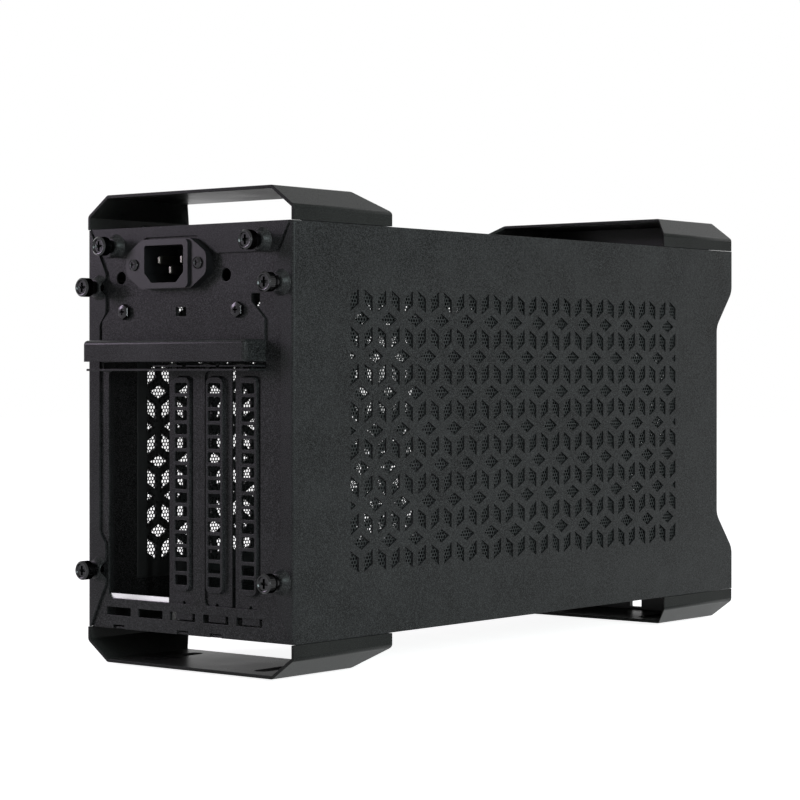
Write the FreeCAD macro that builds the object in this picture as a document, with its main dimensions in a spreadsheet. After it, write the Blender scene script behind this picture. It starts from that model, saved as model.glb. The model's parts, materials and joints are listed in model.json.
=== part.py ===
"""Small form factor computer case: a parametric document in millimetres, one STEP file for each piece.

Frame: +X right as seen from behind, +Y from the rear to the front, +Z up.
The origin is the middle of the underside of the whole case.
"""
import FreeCAD
import Part
import Sketcher
import math
import os
from types import SimpleNamespace

# Driving sizes, written to the spreadsheet. A size ending in _x, _y or _z is a place: x from the middle,
# y from the rear of the body, z from the underside of the body. One ending in _drop is measured down from
# the top of the body. A radius of a many sided outline is measured to its sides.
SIZES = {
    # Body and sheet metal
    "body_width": 127.5,
    "body_height": 182.2,
    "body_length": 358.0,
    "sheet": 1.0,
    "layer_gap": 0.2,
    "fit_gap": 0.3,
    "edge_round": 1.5,
    # Folded brackets: handles on top, feet below
    "bracket_rise": 16.2,
    "bracket_sheet": 1.5,
    "bracket_gap": 0.6,
    "bracket_bend": 7.0,
    "bracket_slope": 12.7,
    "bracket_length": 67.0,
    "bracket_flat": 53.0,
    "bracket_foot": 12.0,
    "bracket_foot_start": 20.0,
    "bracket_round": 2.5,
    "bracket_screw_y": 30.0,
    "bracket_screw_inset": 8.5,
    "bracket_screw_head": 2.6,
    "bracket_screw_tall": 1.7,
    "bracket_screw_shank": 1.4,
    # Moulded plates that close the front ends of the front brackets
    "insert_back": 6.0,
    "insert_sheet": 3.0,
    "insert_window_left": 3.5,
    "insert_window_right": 11.0,
    "insert_window_near": 9.2,
    "insert_window_far": 13.2,
    # Rubber pads in the lower brackets
    "foot_proud": 1.0,
    "foot_rim": 1.0,
    "foot_width": 9.4,
    "foot_length": 38.0,
    "foot_inset": 7.5,
    "foot_offset": 34.5,
    # Side panel outline and rear flange
    "notch_depth": 15.2,
    "notch_start": 40.4,
    "nose_height": 21.7,
    "notch_round": 9.0,
    "flange_width": 7.6,
    "flange_tip": 1.4,
    "tab_width": 11.6,
    "tab_slope": 20.0,
    "tab_end": 38.0,
    "tab_root": 43.3,
    # Vent grille: a tumbling block pattern, columns across and rows down
    "vent_columns": 14,
    "vent_rows": 4,
    "vent_edge": 22.1,
    "vent_strut": 3.9,
    "vent_back": 9.25,
    "mesh_sheet": 0.6,
    "mesh_margin": 5.0,
    # Thumbscrews and the pressed domes under them
    "screw_inset": 7.5,
    "screw_end": 26.3,
    "top_screw_x": 45.2,
    "top_screw_drop": 7.8,
    "screw_reach": 11.6,
    "dome_base": 5.9,
    "dome_top": 4.2,
    "dome_height": 3.6,
    "dome_sheet": 0.9,
    "collar_radius": 3.2,
    "collar_gap": 0.2,
    "head_radius": 4.4,
    "head_length": 5.4,
    "shank_radius": 1.5,
    "shank_inside": 6.0,
    "shank_gap": 0.2,
    "cross_length": 4.8,
    "cross_width": 1.1,
    "cross_depth": 1.6,
    # Top cover
    "cover_flange": 12.0,
    "cover_flange_top": 2.75,
    "cover_flange_low": 10.15,
    "cover_side": 11.0,
    "slide_travel": 12.0,
    "cover_front_gap": 18.4,
    "cover_side_end": 12.6,
    "cover_columns": 10,
    "cover_rows": 3,
    "cover_vent_edge": 21.0,
    # Rear panel: card openings, shelf, holes
    "slot_pitch": 20.32,
    "slot_x": -4.0,
    "opening_half": 6.5,
    "opening_low": 13.3,
    "opening_high": 117.6,
    "opening_round": 2.0,
    "tongue_hole_width": 15.4,
    "tongue_hole_height": 3.7,
    "tongue_hole_z": 7.4,
    "edge_notch_width": 7.0,
    "edge_notch_height": 1.8,
    "shelf_depth": 11.0,
    "shelf_over": 9.9,
    "shelf_gap": 1.6,
    "slit_height": 2.8,
    "strip_rise": 2.2,
    "strip_lap": 2.0,
    "antenna_radius": 2.9,
    "antenna_half": 32.85,
    "antenna_drop": 22.1,
    "pull_width": 4.2,
    "pull_height": 5.5,
    "pull_x": 40.8,
    "pull_z": 148.75,
    "panel_fold": 12.0,
    # Slot covers
    "cover_half": 9.2,
    "cover_sheet": 0.8,
    "tongue_half": 5.2,
    "tongue_low": 6.0,
    "strip_low": 10.8,
    "boss_half": 5.5,
    "boss_low": 18.8,
    "boss_high": 115.3,
    "boss_out": 1.4,
    "boss_round": 2.0,
    "cover_holes": 15,
    "cover_hole_first": 24.1,
    "cover_hole_span": 85.9,
    "cover_hole_width": 7.5,
    "cover_hole_height": 4.5,
    "tab_depth": 9.6,
    "slot_screw_y": 4.6,
    "slot_screw_head": 2.7,
    "slot_screw_tall": 1.8,
    "slot_screw_shank": 1.4,
    "slot_screw_down": 1.8,
    "screw_clear": 0.15,
    # Slot hood
    "hood_depth": 12.5,
    "hood_top": 131.5,
    "hood_low": 121.8,
    "hood_inset": 0.1,
    "hood_plate_top": 151.5,
    "hood_plate_half": 42.7,
    "hood_shoulder": 140.4,
    "hood_round": 2.0,
    "hood_screw_half": 35.2,
    "hood_screw_z": 144.5,
    "hood_screw_head": 3.1,
    "hood_screw_tall": 2.4,
    "hood_screw_shank": 1.6,
    "hood_screw_grip": 5.0,
    "hood_slot_width": 6.5,
    "hood_slot_height": 4.0,
    "hood_slot_z": 144.2,
    # Mains inlet
    "inlet_x": -10.2,
    "inlet_drop": 16.6,
    "inlet_half": 25.0,
    "inlet_tip": 4.6,
    "inlet_block_half": 15.2,
    "inlet_block_tall": 11.2,
    "inlet_wing": 4.5,
    "inlet_block_out": 1.3,
    "inlet_body_half": 13.6,
    "inlet_body_tall": 9.8,
    "inlet_body_depth": 17.0,
    "inlet_cavity_half": 12.2,
    "inlet_cavity_tall": 8.4,
    "inlet_chamfer": 4.5,
    "inlet_floor": 2.0,
    "inlet_screw_half": 20.0,
    "inlet_screw_head": 2.7,
    "inlet_screw_tall": 1.4,
    "inlet_screw_shank": 1.4,
    "inlet_clear": 0.3,
    "inlet_relief": 1.2,
    "pin_half_width": 1.0,
    "pin_half_height": 2.0,
    "pin_spread": 7.0,
    "pin_high": 2.0,
    "pin_low": -2.6,
    "pin_inset": 4.0,
    "pin_tail": 8.0,
    # Rails, front wall, floor
    "rail_gap": 0.35,
    "rail_height": 22.0,
    "rail_to_fan": 5.5,
    "wall_y": 336.0,
    "wall_window_low": 30.0,
    "wall_window_drop": 32.2,
    "wall_window_left": 8.0,
    "wall_window_right": 54.0,
    "tray_side": 11.0,
    "tray_front_gap": 18.4,
    "tray_slots": 7,
    "tray_slot_first": 60.0,
    "tray_slot_span": 156.0,
    "tray_slot_width": 6.0,
    "tray_slot_left": -30.0,
    "tray_slot_right": 30.0,
    "post_radius": 3.0,
    "post_height": 6.5,
    "post_bore": 1.25,
    "post_rear_y": 40.0,
    "post_front_y": 215.0,
    "post_half": 45.0,
    # Power supply on its floor bracket
    "supply_width": 63.5,
    "supply_depth": 100.0,
    "supply_height": 125.0,
    "supply_clear": 9.8,
    "supply_sheet": 1.2,
    "supply_slots": 7,
    "supply_slot_first": 25.0,
    "supply_slot_span": 75.0,
    "supply_slot_width": 6.0,
    "supply_slot_margin": 16.0,
    "stand_sheet": 1.5,
    "stand_foot": 12.0,
    # Fans under the top cover
    "fan_size": 92.0,
    "fan_depth": 25.0,
    "fan_bore": 43.5,
    "fan_rear_y": 128.0,
    "fan_pitch": 102.0,
    "fan_hub": 17.5,
    "fan_axle": 4.0,
    "fan_axle_proud": 0.6,
    "fan_base": 3.0,
    "fan_arm": 4.0,
    "fan_blades": 7,
    "fan_blade_reach": 42.0,
    "fan_blade_width": 17.0,
    "fan_blade_thick": 1.8,
    "fan_blade_tilt": 38.0,
    "fan_rotor_low": 3.5,
    "fan_rotor_high": 22.0,
    # Front panel and what sits on its lower nose
    "front_inset": 0.8,
    "front_sheet": 1.3,
    "front_lip": 18.6,
    "front_columns": 4,
    "front_rows": 3,
    "front_vent_edge": 20.0,
    "port_z": 11.0,
    "port_wall": 0.6,
    "usb_first_x": -12.0,
    "usb_pitch": 20.0,
    "usb_half_width": 6.6,
    "usb_half_height": 2.9,
    "usb_depth": 14.0,
    "usb_tongue_half": 5.2,
    "usb_tongue_thick": 1.8,
    "port_clear": 0.3,
    "jack_x": -32.0,
    "jack_radius": 3.0,
    "jack_bore": 1.8,
    "jack_depth": 13.0,
    "button_x": 40.0,
    "button_radius": 5.6,
    "button_collar": 7.0,
    "button_collar_tall": 1.2,
    "button_travel": 1.5,
    "button_stem": 2.0,
    "switch_half": 3.2,
    "switch_depth": 4.0,
    "board_sheet": 1.6,
    "board_half": 50.0,
    "board_depth": 11.5,
    "board_post_radius": 2.2,
    "board_post_half": 46.0,
}

SQUARE_THIRD = math.sqrt(3.0) / 2.0

doc = FreeCAD.newDocument("computer_case")
sheet = doc.addObject("Spreadsheet::Sheet", "sizes")
for row, (alias, number) in enumerate(SIZES.items(), start=1):
    sheet.set(f"A{row}", alias)
    sheet.set(f"B{row}", str(number))
    sheet.setAlias(f"B{row}", alias)
doc.recompute()


class Size:
    """A length that carries its number and the spreadsheet formula it comes from."""

    def __init__(self, number, formula):
        self.number = float(number)
        self.formula = formula

    @staticmethod
    def of(value):
        return value if isinstance(value, Size) else Size(value, f"{float(value):.9g}")

    def __add__(self, other):
        other = Size.of(other)
        return Size(self.number + other.number, f"({self.formula} + {other.formula})")

    def __sub__(self, other):
        other = Size.of(other)
        return Size(self.number - other.number, f"({self.formula} - {other.formula})")

    def __mul__(self, other):
        other = Size.of(other)
        return Size(self.number * other.number, f"({self.formula} * {other.formula})")

    def __truediv__(self, other):
        other = Size.of(other)
        return Size(self.number / other.number, f"({self.formula} / {other.formula})")

    def __neg__(self):
        return Size(-self.number, f"(0 - {self.formula})")

    def __radd__(self, other):
        return Size.of(other) + self

    def __rsub__(self, other):
        return Size.of(other) - self

    def __rmul__(self, other):
        return Size.of(other) * self

    def root(self):
        return Size(math.sqrt(self.number), f"sqrt({self.formula})")


S = SimpleNamespace(**{alias: Size(number, f"sizes.{alias}") for alias, number in SIZES.items()})
ZERO = Size.of(0.0)


def most(one, other):
    """The larger of two sizes."""
    return Size(max(one.number, other.number), f"max({one.formula}; {other.formula})")


def bind(item, prop, value):
    """Drive one property of an object by the formula of a size."""
    item.setExpression(prop, Size.of(value).formula)


def span(one, other):
    """The two sizes in rising order."""
    one, other = Size.of(one), Size.of(other)
    return (one, other) if one.number <= other.number else (other, one)


# Outlines: a loop is a list of corner points, or a circle. Small round outlines are drawn many sided.
def polygon(points):
    return [(Size.of(u), Size.of(v)) for u, v in points]


def rectangle(u_low, u_high, v_low, v_high):
    return polygon([(u_low, v_low), (u_high, v_low), (u_high, v_high), (u_low, v_high)])


def turned(middles, radius, steps):
    """A loop that turns by equal shares round each middle in order, counterclockwise from +u."""
    share = 2.0 * math.pi / len(middles)
    points = []
    for number, (u, v) in enumerate(middles):
        for step in range(steps + 1):
            angle = share * (number + step / steps)
            points.append((u + radius * math.cos(angle), v + radius * math.sin(angle)))
    return polygon(points)


def rounded(u_low, u_high, v_low, v_high, radius):
    """A rectangle with round corners, two sides to a corner."""
    ul, uh, vl, vh, r = (Size.of(value) for value in (u_low, u_high, v_low, v_high, radius))
    return turned([(uh - r, vh - r), (ul + r, vh - r), (ul + r, vl + r), (uh - r, vl + r)], r, 2)


def obround(u_low, u_high, v_low, v_high):
    """A slot with round ends, long in v."""
    ul, uh, vl, vh = (Size.of(value) for value in (u_low, u_high, v_low, v_high))
    r = (uh - ul) / 2
    return turned([(ul + r, vh - r), (ul + r, vl + r)], r, 4)


def regular(sides, radius, u=0.0, v=0.0):
    """A regular polygon round a point, with its radius to its sides and one side facing +u."""
    reach = radius / math.cos(math.pi / sides)
    step = 2.0 * math.pi / sides
    return polygon([(u + reach * math.cos(step * (i + 0.5)), v + reach * math.sin(step * (i + 0.5)))
                    for i in range(sides)])


def circle(u, v, radius):
    return ("circle", Size.of(u), Size.of(v), Size.of(radius))


def vector(u, v):
    return FreeCAD.Vector(u.number, v.number, 0.0)


def draw(sketch, loops):
    """Draw loops in a sketch and tie every point and radius to its formula."""
    def tie(kind, *where):
        index = sketch.addConstraint(Sketcher.Constraint(kind, *where[:-1], where[-1].number))
        bind(sketch, f"Constraints[{index}]", where[-1])

    for loop in loops:
        if loop[0] == "circle":
            _, u, v, radius = loop
            upright = FreeCAD.Vector(0, 0, 1)
            item = sketch.addGeometry(Part.Circle(vector(u, v), upright, radius.number), False)
            tie("DistanceX", item, 3, u)
            tie("DistanceY", item, 3, v)
            tie("Radius", item, radius)
            continue
        items = [sketch.addGeometry(Part.LineSegment(vector(*start), vector(*end)), False)
                 for start, end in zip(loop, loop[1:] + loop[:1])]
        for item, following, (u, v) in zip(items, items[1:] + items[:1], loop):
            sketch.addConstraint(Sketcher.Constraint("Coincident", item, 2, following, 1))
            tie("DistanceX", item, 1, u)
            tie("DistanceY", item, 1, v)


PLANES = {"X": "YZ_Plane", "Y": "XZ_Plane", "Z": "XY_Plane"}


class Piece:
    """One sub-part made as a body. Outlines are in (y, z), (x, z) or (x, y) for the axis X, Y or Z."""

    def __init__(self, name):
        self.body = doc.addObject("PartDesign::Body", name)
        self.body.Label = name

    def sketch(self, plane, loops, offset):
        outline = self.body.newObject("Sketcher::SketchObject", "outline")
        support = next(item for item in self.body.Origin.OriginFeatures if item.Role == plane)
        outline.AttachmentSupport = [(support, "")]
        outline.MapMode = "FlatFace"
        for letter, value in zip("xyz", offset):
            bind(outline, f"AttachmentOffset.Base.{letter}", value)
        draw(outline, loops)
        return outline

    def add(self, axis, loops, low, high):
        """Pad outlines from one place along the axis to a higher one."""
        low, high = span(low, high)
        offset = -high if axis == "Y" else low
        outline = self.sketch(PLANES[axis], loops, (ZERO, ZERO, offset))
        pad = self.body.newObject("PartDesign::Pad", "pad")
        pad.Profile = outline
        bind(pad, "Length", high - low)
        return self

    def cut(self, axis, loops, low, high):
        """Pocket outlines from one place along the axis to a higher one."""
        low, high = span(low, high)
        offset = -low if axis == "Y" else high
        outline = self.sketch(PLANES[axis], loops, (ZERO, ZERO, offset))
        self.pocket = self.body.newObject("PartDesign::Pocket", "pocket")
        self.pocket.Profile = outline
        bind(self.pocket, "Length", high - low)
        return self

    def repeat(self, length, count):
        """Repeat the last pocket along the upright axis of its sketch."""
        row = self.body.newObject("PartDesign::LinearPattern", "row")
        row.Originals = [self.pocket]
        row.Direction = (self.pocket.Profile[0], ["V_Axis"])
        bind(row, "Length", length)
        bind(row, "Occurrences", count)
        self.body.Tip = row
        return self

    def loft(self, axis, start, start_at, end, end_at, hollow=False):
        """Join an outline at one place along the axis to another outline at another place."""
        outlines = []
        for loop, place in ((start, start_at), (end, end_at)):
            offset = -place if axis == "Y" else place
            outlines.append(self.sketch(PLANES[axis], [loop], (ZERO, ZERO, offset)))
        kind = "SubtractiveLoft" if hollow else "AdditiveLoft"
        body = self.body.newObject(f"PartDesign::{kind}", "loft")
        body.Profile = outlines[0]
        body.Sections = [outlines[1]]
        body.Ruled = True
        return self

    def round(self, radius, axis, places):
        """Round the edges along an axis that pass through the given places on the other two axes."""
        doc.recompute()
        tip = self.body.Tip
        first, second = {"X": ("y", "z"), "Y": ("x", "z"), "Z": ("x", "y")}[axis]
        names = []
        for number, edge in enumerate(tip.Shape.Edges, start=1):
            start, end = edge.Vertexes[0].Point, edge.Vertexes[-1].Point
            along = abs(getattr(end - start, axis.lower()))
            if along < 0.999 * edge.Length:
                continue
            for u, v in places:
                off_u = abs(getattr(start, first) - Size.of(u).number)
                off_v = abs(getattr(start, second) - Size.of(v).number)
                if off_u < 1e-4 and off_v < 1e-4:
                    names.append(f"Edge{number}")
        fillet = self.body.newObject("PartDesign::Fillet", "fillet")
        fillet.Base = (tip, names)
        bind(fillet, "Radius", radius)
        return self

    def move(self, x, y, z):
        for letter, value in zip("xyz", (x, y, z)):
            bind(self.body, f"Placement.Base.{letter}", value)
        return self


nodes = []


def keep(item):
    """Put a finished object on the list of sub-parts to write."""
    nodes.append(item.body if isinstance(item, Piece) else item)
    return item


def block(name, x_span, y_span, z_span):
    """A plain box between pairs of places."""
    item = doc.addObject("Part::Box", name)
    item.Label = name
    sides = (span(*x_span), span(*y_span), span(*z_span))
    for prop, letter, (low, high) in zip(("Length", "Width", "Height"), "xyz", sides):
        bind(item, prop, high - low)
        bind(item, f"Placement.Base.{letter}", low)
    return item


def tumbling_blocks(columns, rows, edge, strut, middle_u, middle_v):
    """Corner lists of the holes of a tumbling block pattern: upright rhombs in pairs, diamonds below them."""
    step = edge * SQUARE_THIRD
    scale = 1.0 - strut / step
    left = middle_u - columns * step / 2.0
    first = middle_v + rows * 1.5 * edge / 2.0 - edge
    holes = []

    def add(mid_u, mid_v, corners):
        holes.append([(mid_u + scale * du, mid_v + scale * dv) for du, dv in corners])

    for row in range(rows):
        level = first - 1.5 * edge * row
        for column in range(columns):
            rise = edge / 4.0 if (column + row) % 2 == 0 else -edge / 4.0
            mid_u = left + (column + 0.5) * step
            half = step / 2.0
            add(mid_u, level + edge / 4.0, [(-half, -edge / 2 - rise), (half, -edge / 2 + rise),
                                            (half, edge / 2 + rise), (-half, edge / 2 - rise)])
        if row == rows - 1:
            break
        for column in range(1 + row % 2, columns, 2):
            add(left + column * step, level - edge / 2.0,
                [(-step, 0.0), (0.0, -edge / 2), (step, 0.0), (0.0, edge / 2)])
    return holes


def perforate(piece, name, axis, low, high, holes):
    """Cut a field of straight sided holes through a finished body along one axis."""
    low, high = low.number, high.number
    order = {"X": lambda u, v: (low, u, v),
             "Y": lambda u, v: (u, low, v),
             "Z": lambda u, v: (u, v, low)}[axis]
    push = {"X": (high - low, 0, 0), "Y": (0, high - low, 0), "Z": (0, 0, high - low)}[axis]
    prisms = []
    for corners in holes:
        ring = [FreeCAD.Vector(*order(u, v)) for u, v in corners]
        face = Part.Face(Part.makePolygon(ring + ring[:1]))
        prisms.append(face.extrude(FreeCAD.Vector(*push)))
    punch = doc.addObject("Part::Feature", f"{name}_punch")
    punch.Shape = Part.makeCompound(prisms)
    piece.body.Label = f"{name}_blank"
    result = doc.addObject("Part::Cut", name)
    result.Base = piece.body
    result.Tool = punch
    result.Label = name
    return result


# Places shared by the pieces
half_width = S.body_width / 2
base = S.foot_proud + S.bracket_rise
top = base + S.body_height
rear = (most(S.hood_depth, S.screw_reach) - S.body_length) / 2
front = rear + S.body_length
inner_half = half_width - S.sheet - S.mesh_sheet - S.fit_gap
panel_out = rear + S.sheet + S.layer_gap
panel_in = panel_out + S.sheet
notch_y = front - S.notch_depth
floor_low = base - S.bracket_gap
floor_top = floor_low + S.sheet
roof_top = top + S.bracket_gap
roof_low = roof_top - S.sheet
wall_back = rear + S.wall_y
SIDES = {"left": -1.0, "right": 1.0}
slots = [S.slot_x + S.slot_pitch * number for number in (-2, -1, 0, 1, 2)]
shelf_left = S.flange_width + S.shelf_gap - half_width
shelf_right = slots[4] + S.shelf_over
inlet_z = top - S.inlet_drop
vent_y = rear + S.body_length / 2 - S.vent_back
vent_z = base + S.body_height / 2
screw_hole = S.shank_radius + S.shank_gap
HOLE_SIDES = 8
DOME_SIDES = 12
HUB_SIDES = 24


def dome(piece, x, z):
    """A hollow pressed dome on a rear flange, with a clearance hole for the thumbscrew."""
    crown = rear - S.dome_height
    outside, inside = ([regular(DOME_SIDES, radius - wall, x, z) for radius in (S.dome_base, S.dome_top)]
                       for wall in (ZERO, S.dome_sheet))
    piece.loft("Y", outside[0], rear, outside[1], crown)
    piece.loft("Y", inside[0], rear, inside[1], crown + S.dome_sheet, hollow=True)
    piece.cut("Y", [inside[0]], rear, rear + S.sheet)
    piece.cut("Y", [regular(HOLE_SIDES, screw_hole, x, z)], crown, crown + S.dome_sheet)


def side_panel(name, side):
    """One folded side panel: outline with a stepped front edge, rear flange with tabs, domes, grille."""
    def inset(distance):
        return side * (half_width - distance)

    piece = Piece(name)
    piece.add("X", [polygon([(rear, base), (front, base), (front, base + S.nose_height),
                             (notch_y, base + S.notch_start), (notch_y, top - S.notch_start),
                             (front, top - S.nose_height), (front, top), (rear, top)])],
              inset(ZERO), inset(S.sheet))
    piece.round(S.notch_round, "X", [(front, base + S.nose_height), (notch_y, base + S.notch_start),
                                     (notch_y, top - S.notch_start), (front, top - S.nose_height)])
    flange = []
    for distance, height in [(ZERO, ZERO), (S.flange_tip, ZERO), (S.tab_width, S.tab_slope),
                             (S.tab_width, S.tab_end), (S.flange_width, S.tab_root)]:
        flange.append((inset(distance), base + height))
    for distance, height in [(S.flange_width, S.tab_root), (S.tab_width, S.tab_end),
                             (S.tab_width, S.tab_slope), (S.flange_tip, ZERO), (ZERO, ZERO)]:
        flange.append((inset(distance), top - height))
    piece.add("Y", [polygon(flange)], rear, rear + S.sheet)
    screw_x = inset(S.screw_inset)
    for screw_z in (base + S.screw_end, top - S.screw_end):
        dome(piece, screw_x, screw_z)
        trim = span(inset(S.tab_width), inset(S.tab_width + S.dome_base))
        piece.cut("Y", [rectangle(*trim, screw_z - S.dome_base - 1, screw_z + S.dome_base + 1)],
                  rear - S.dome_height - 1, rear + S.sheet + 1)
    piece.round(S.edge_round, "Z", [(inset(ZERO), rear)])
    doc.recompute()
    holes = tumbling_blocks(int(S.vent_columns.number), int(S.vent_rows.number), S.vent_edge.number,
                            S.vent_strut.number, vent_y.number, (vent_z - S.vent_edge / 4).number)
    low, high = span(inset(-1 * S.sheet), inset(2 * S.sheet))
    return perforate(piece, name, "X", low, high, holes)


def side_mesh(name, side):
    """The fine mesh sheet behind a side panel's grille, drawn plain."""
    outer = half_width - S.sheet
    half_long = S.vent_columns * S.vent_edge * (SQUARE_THIRD / 2) + S.mesh_margin
    half_tall = S.vent_rows * S.vent_edge * 0.75 + S.mesh_margin
    return block(name, (side * outer, side * (outer - S.mesh_sheet)),
                 (vent_y - half_long, vent_y + half_long), (vent_z - half_tall, vent_z + half_tall))


def thumbscrew(name, x, z):
    """A thumbscrew: many sided grip with a cross recess, collar on the dome, shank through the sheets."""
    grip_back = S.head_length - S.screw_reach
    collar_back = -S.dome_height - S.collar_gap
    piece = Piece(name)
    piece.add("Y", [regular(16, S.head_radius)], -S.screw_reach, grip_back)
    piece.add("Y", [regular(12, S.collar_radius)], grip_back, collar_back)
    piece.add("Y", [circle(ZERO, ZERO, S.shank_radius)], collar_back, S.shank_inside)
    for wide, tall in ((S.cross_length, S.cross_width), (S.cross_width, S.cross_length)):
        piece.cut("Y", [rectangle(-wide / 2, wide / 2, -tall / 2, tall / 2)],
                  -S.screw_reach, S.cross_depth - S.screw_reach)
    return piece.move(x, rear, z)


def away(level, height):
    """A place above the body's top for a level of +1, or below its underside for -1."""
    return top + height if level > 0 else base - height


def bracket_inside():
    """Half of a bracket's inside, as (x, height) from its flat down to its foot."""
    rise = S.bracket_rise - S.bracket_bend
    slant = (rise * rise + S.bracket_slope * S.bracket_slope).root()
    low_shift = S.bracket_sheet * (slant - rise) / S.bracket_slope
    high_shift = S.bracket_sheet * (slant - S.bracket_slope) / rise
    return [(half_width - S.bracket_slope - high_shift, S.bracket_rise - S.bracket_sheet),
            (half_width - S.bracket_sheet, S.bracket_bend - low_shift),
            (half_width - S.bracket_sheet, S.bracket_gap + S.bracket_sheet)]


def bracket(name, end, level):
    """A folded bracket over the whole width: end -1 rear, +1 front; level +1 handle on top, -1 foot below."""
    def at(height):
        return away(level, height)

    half = [(half_width, S.bracket_gap), (half_width, S.bracket_bend),
            (half_width - S.bracket_slope, S.bracket_rise)]
    leg_inside = half_width - S.bracket_sheet
    foot_end = leg_inside - S.bracket_foot
    inside = bracket_inside() + [(foot_end, S.bracket_gap + S.bracket_sheet), (foot_end, S.bracket_gap)]
    ring = [(x, at(height)) for x, height in half]
    ring += [(-x, at(height)) for x, height in reversed(half)]
    ring += [(-x, at(height)) for x, height in reversed(inside)]
    ring += [(x, at(height)) for x, height in inside]
    outer = rear if end < 0 else front

    def along(distance):
        return outer - end * distance

    piece = Piece(name)
    piece.add("Y", [polygon(ring)], outer, along(S.bracket_length))
    piece.cut("Z", [rectangle(-leg_inside, leg_inside, *span(outer + end, along(S.bracket_foot_start)))],
              at(S.bracket_gap), at(S.bracket_gap + S.bracket_sheet))
    bends = [(sign * x, at(height)) for x, height in half[1:] for sign in (-1.0, 1.0)]
    piece.round(S.bracket_round, "Y", bends)
    taper = [(half_width, along(S.bracket_length)), (half_width - S.bracket_slope, along(S.bracket_flat)),
             (S.bracket_slope - half_width, along(S.bracket_flat)), (-half_width, along(S.bracket_length)),
             (-half_width, along(S.bracket_length + 1)), (half_width, along(S.bracket_length + 1))]
    piece.cut("Z", [polygon(taper)], at(ZERO), at(S.bracket_rise + 1))
    screw_y = along(S.bracket_screw_y)
    for side in SIDES.values():
        hole = regular(HOLE_SIDES, S.bracket_screw_shank + S.screw_clear,
                       side * (half_width - S.bracket_screw_inset), screw_y)
        piece.cut("Z", [hole], at(ZERO), at(S.bracket_gap + S.bracket_sheet + 0.5))
        if level < 0:
            middle = side * S.foot_offset
            half_slot = S.foot_width / 2 - S.foot_rim
            piece.cut("Z", [obround(middle - half_slot, middle + half_slot,
                                    *span(along(S.foot_inset + S.foot_rim),
                                          along(S.foot_inset + S.foot_length - S.foot_rim)))],
                      at(S.bracket_rise - S.bracket_sheet - 1), at(S.bracket_rise + 1))
    return piece


def bracket_insert(name, level):
    """A moulded plate under the flat of a front bracket, closing its front end."""
    half = [(x - S.fit_gap, height) for x, height in bracket_inside()]
    loop = [(x, away(level, height)) for x, height in half]
    loop += [(-x, away(level, height)) for x, height in reversed(half)]
    face = front - S.insert_back
    piece = Piece(name)
    piece.add("Y", [polygon(loop)], face - S.insert_sheet, face)
    if level < 0:
        window = span(away(level, S.insert_window_near), away(level, S.insert_window_far))
        piece.cut("Y", [rectangle(S.insert_window_left, S.insert_window_right, *window)],
                  face - S.insert_sheet, face)
    return piece


def screw(piece, axis, out, middle, sides, head, tall, shank, grip):
    """A screw seated at a point, its head standing the way that out gives along the axis."""
    x, y, z = middle
    u, v, seat = (x, y, z) if axis == "Z" else (x, z, y)
    piece.add(axis, [regular(sides, head, u, v)], seat, seat + out * tall)
    piece.add(axis, [regular(HOLE_SIDES, shank, u, v)], seat, seat - out * grip)


def bracket_screws(name, level):
    """The screws that hold two brackets to the roof or the floor, ending flush inside."""
    piece = Piece(name)
    face = roof_top if level > 0 else floor_low
    seat = face + level * S.bracket_sheet
    for outer, end in ((rear, -1.0), (front, 1.0)):
        for side in SIDES.values():
            middle = (side * (half_width - S.bracket_screw_inset), outer - end * S.bracket_screw_y, seat)
            screw(piece, "Z", level, middle, HOLE_SIDES, S.bracket_screw_head, S.bracket_screw_tall,
                  S.bracket_screw_shank, S.bracket_sheet + S.sheet)
    return piece


def rubber_feet():
    """Four rubber pads pressed through the slots of the lower brackets, each with a rim below."""
    piece = Piece("rubber_feet")
    slot_low = base - S.bracket_rise
    for outer, end in ((rear, -1.0), (front, 1.0)):
        for side in SIDES.values():
            middle = side * S.foot_offset
            layers = ((ZERO, ZERO, slot_low), (S.foot_rim, slot_low, slot_low + S.bracket_sheet))
            for rim, low, high in layers:
                half_pad = S.foot_width / 2 - rim
                near, far = S.foot_inset + rim, S.foot_inset + S.foot_length - rim
                ends = span(outer - end * near, outer - end * far)
                piece.add("Z", [obround(middle - half_pad, middle + half_pad, *ends)], low, high)
    return piece


def bottom_tray():
    """The floor with upturned sides, vent slots and holes for the lower brackets' screws."""
    piece = Piece("bottom_tray")
    tray_front = front - S.tray_front_gap
    piece.add("Z", [rectangle(-inner_half, inner_half, panel_in, tray_front)], floor_low, floor_top)
    for side in SIDES.values():
        walls = span(side * inner_half, side * (inner_half - S.sheet))
        wall_start = panel_in + S.panel_fold + S.fit_gap
        piece.add("X", [rectangle(wall_start, wall_back, floor_top, base + S.tray_side)], *walls)
        for outer, end in ((rear, -1.0), (front, 1.0)):
            hole = regular(HOLE_SIDES, S.bracket_screw_shank + S.screw_clear,
                           side * (half_width - S.bracket_screw_inset), outer - end * S.bracket_screw_y)
            piece.cut("Z", [hole], floor_low - 1, floor_top + 1)
    slot_y = rear + S.tray_slot_first
    piece.cut("Z", [rectangle(S.tray_slot_left, S.tray_slot_right, slot_y, slot_y + S.tray_slot_width)],
              floor_low - 1, floor_top + 1)
    return piece.repeat(S.tray_slot_span, S.tray_slots)


def hood_slot():
    """The outline of the pull slot through the hood's plate and the rear panel."""
    middle = base + S.hood_slot_z
    return rectangle(S.slot_x - S.hood_slot_width / 2, S.slot_x + S.hood_slot_width / 2,
                     middle - S.hood_slot_height / 2, middle + S.hood_slot_height / 2)


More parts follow.
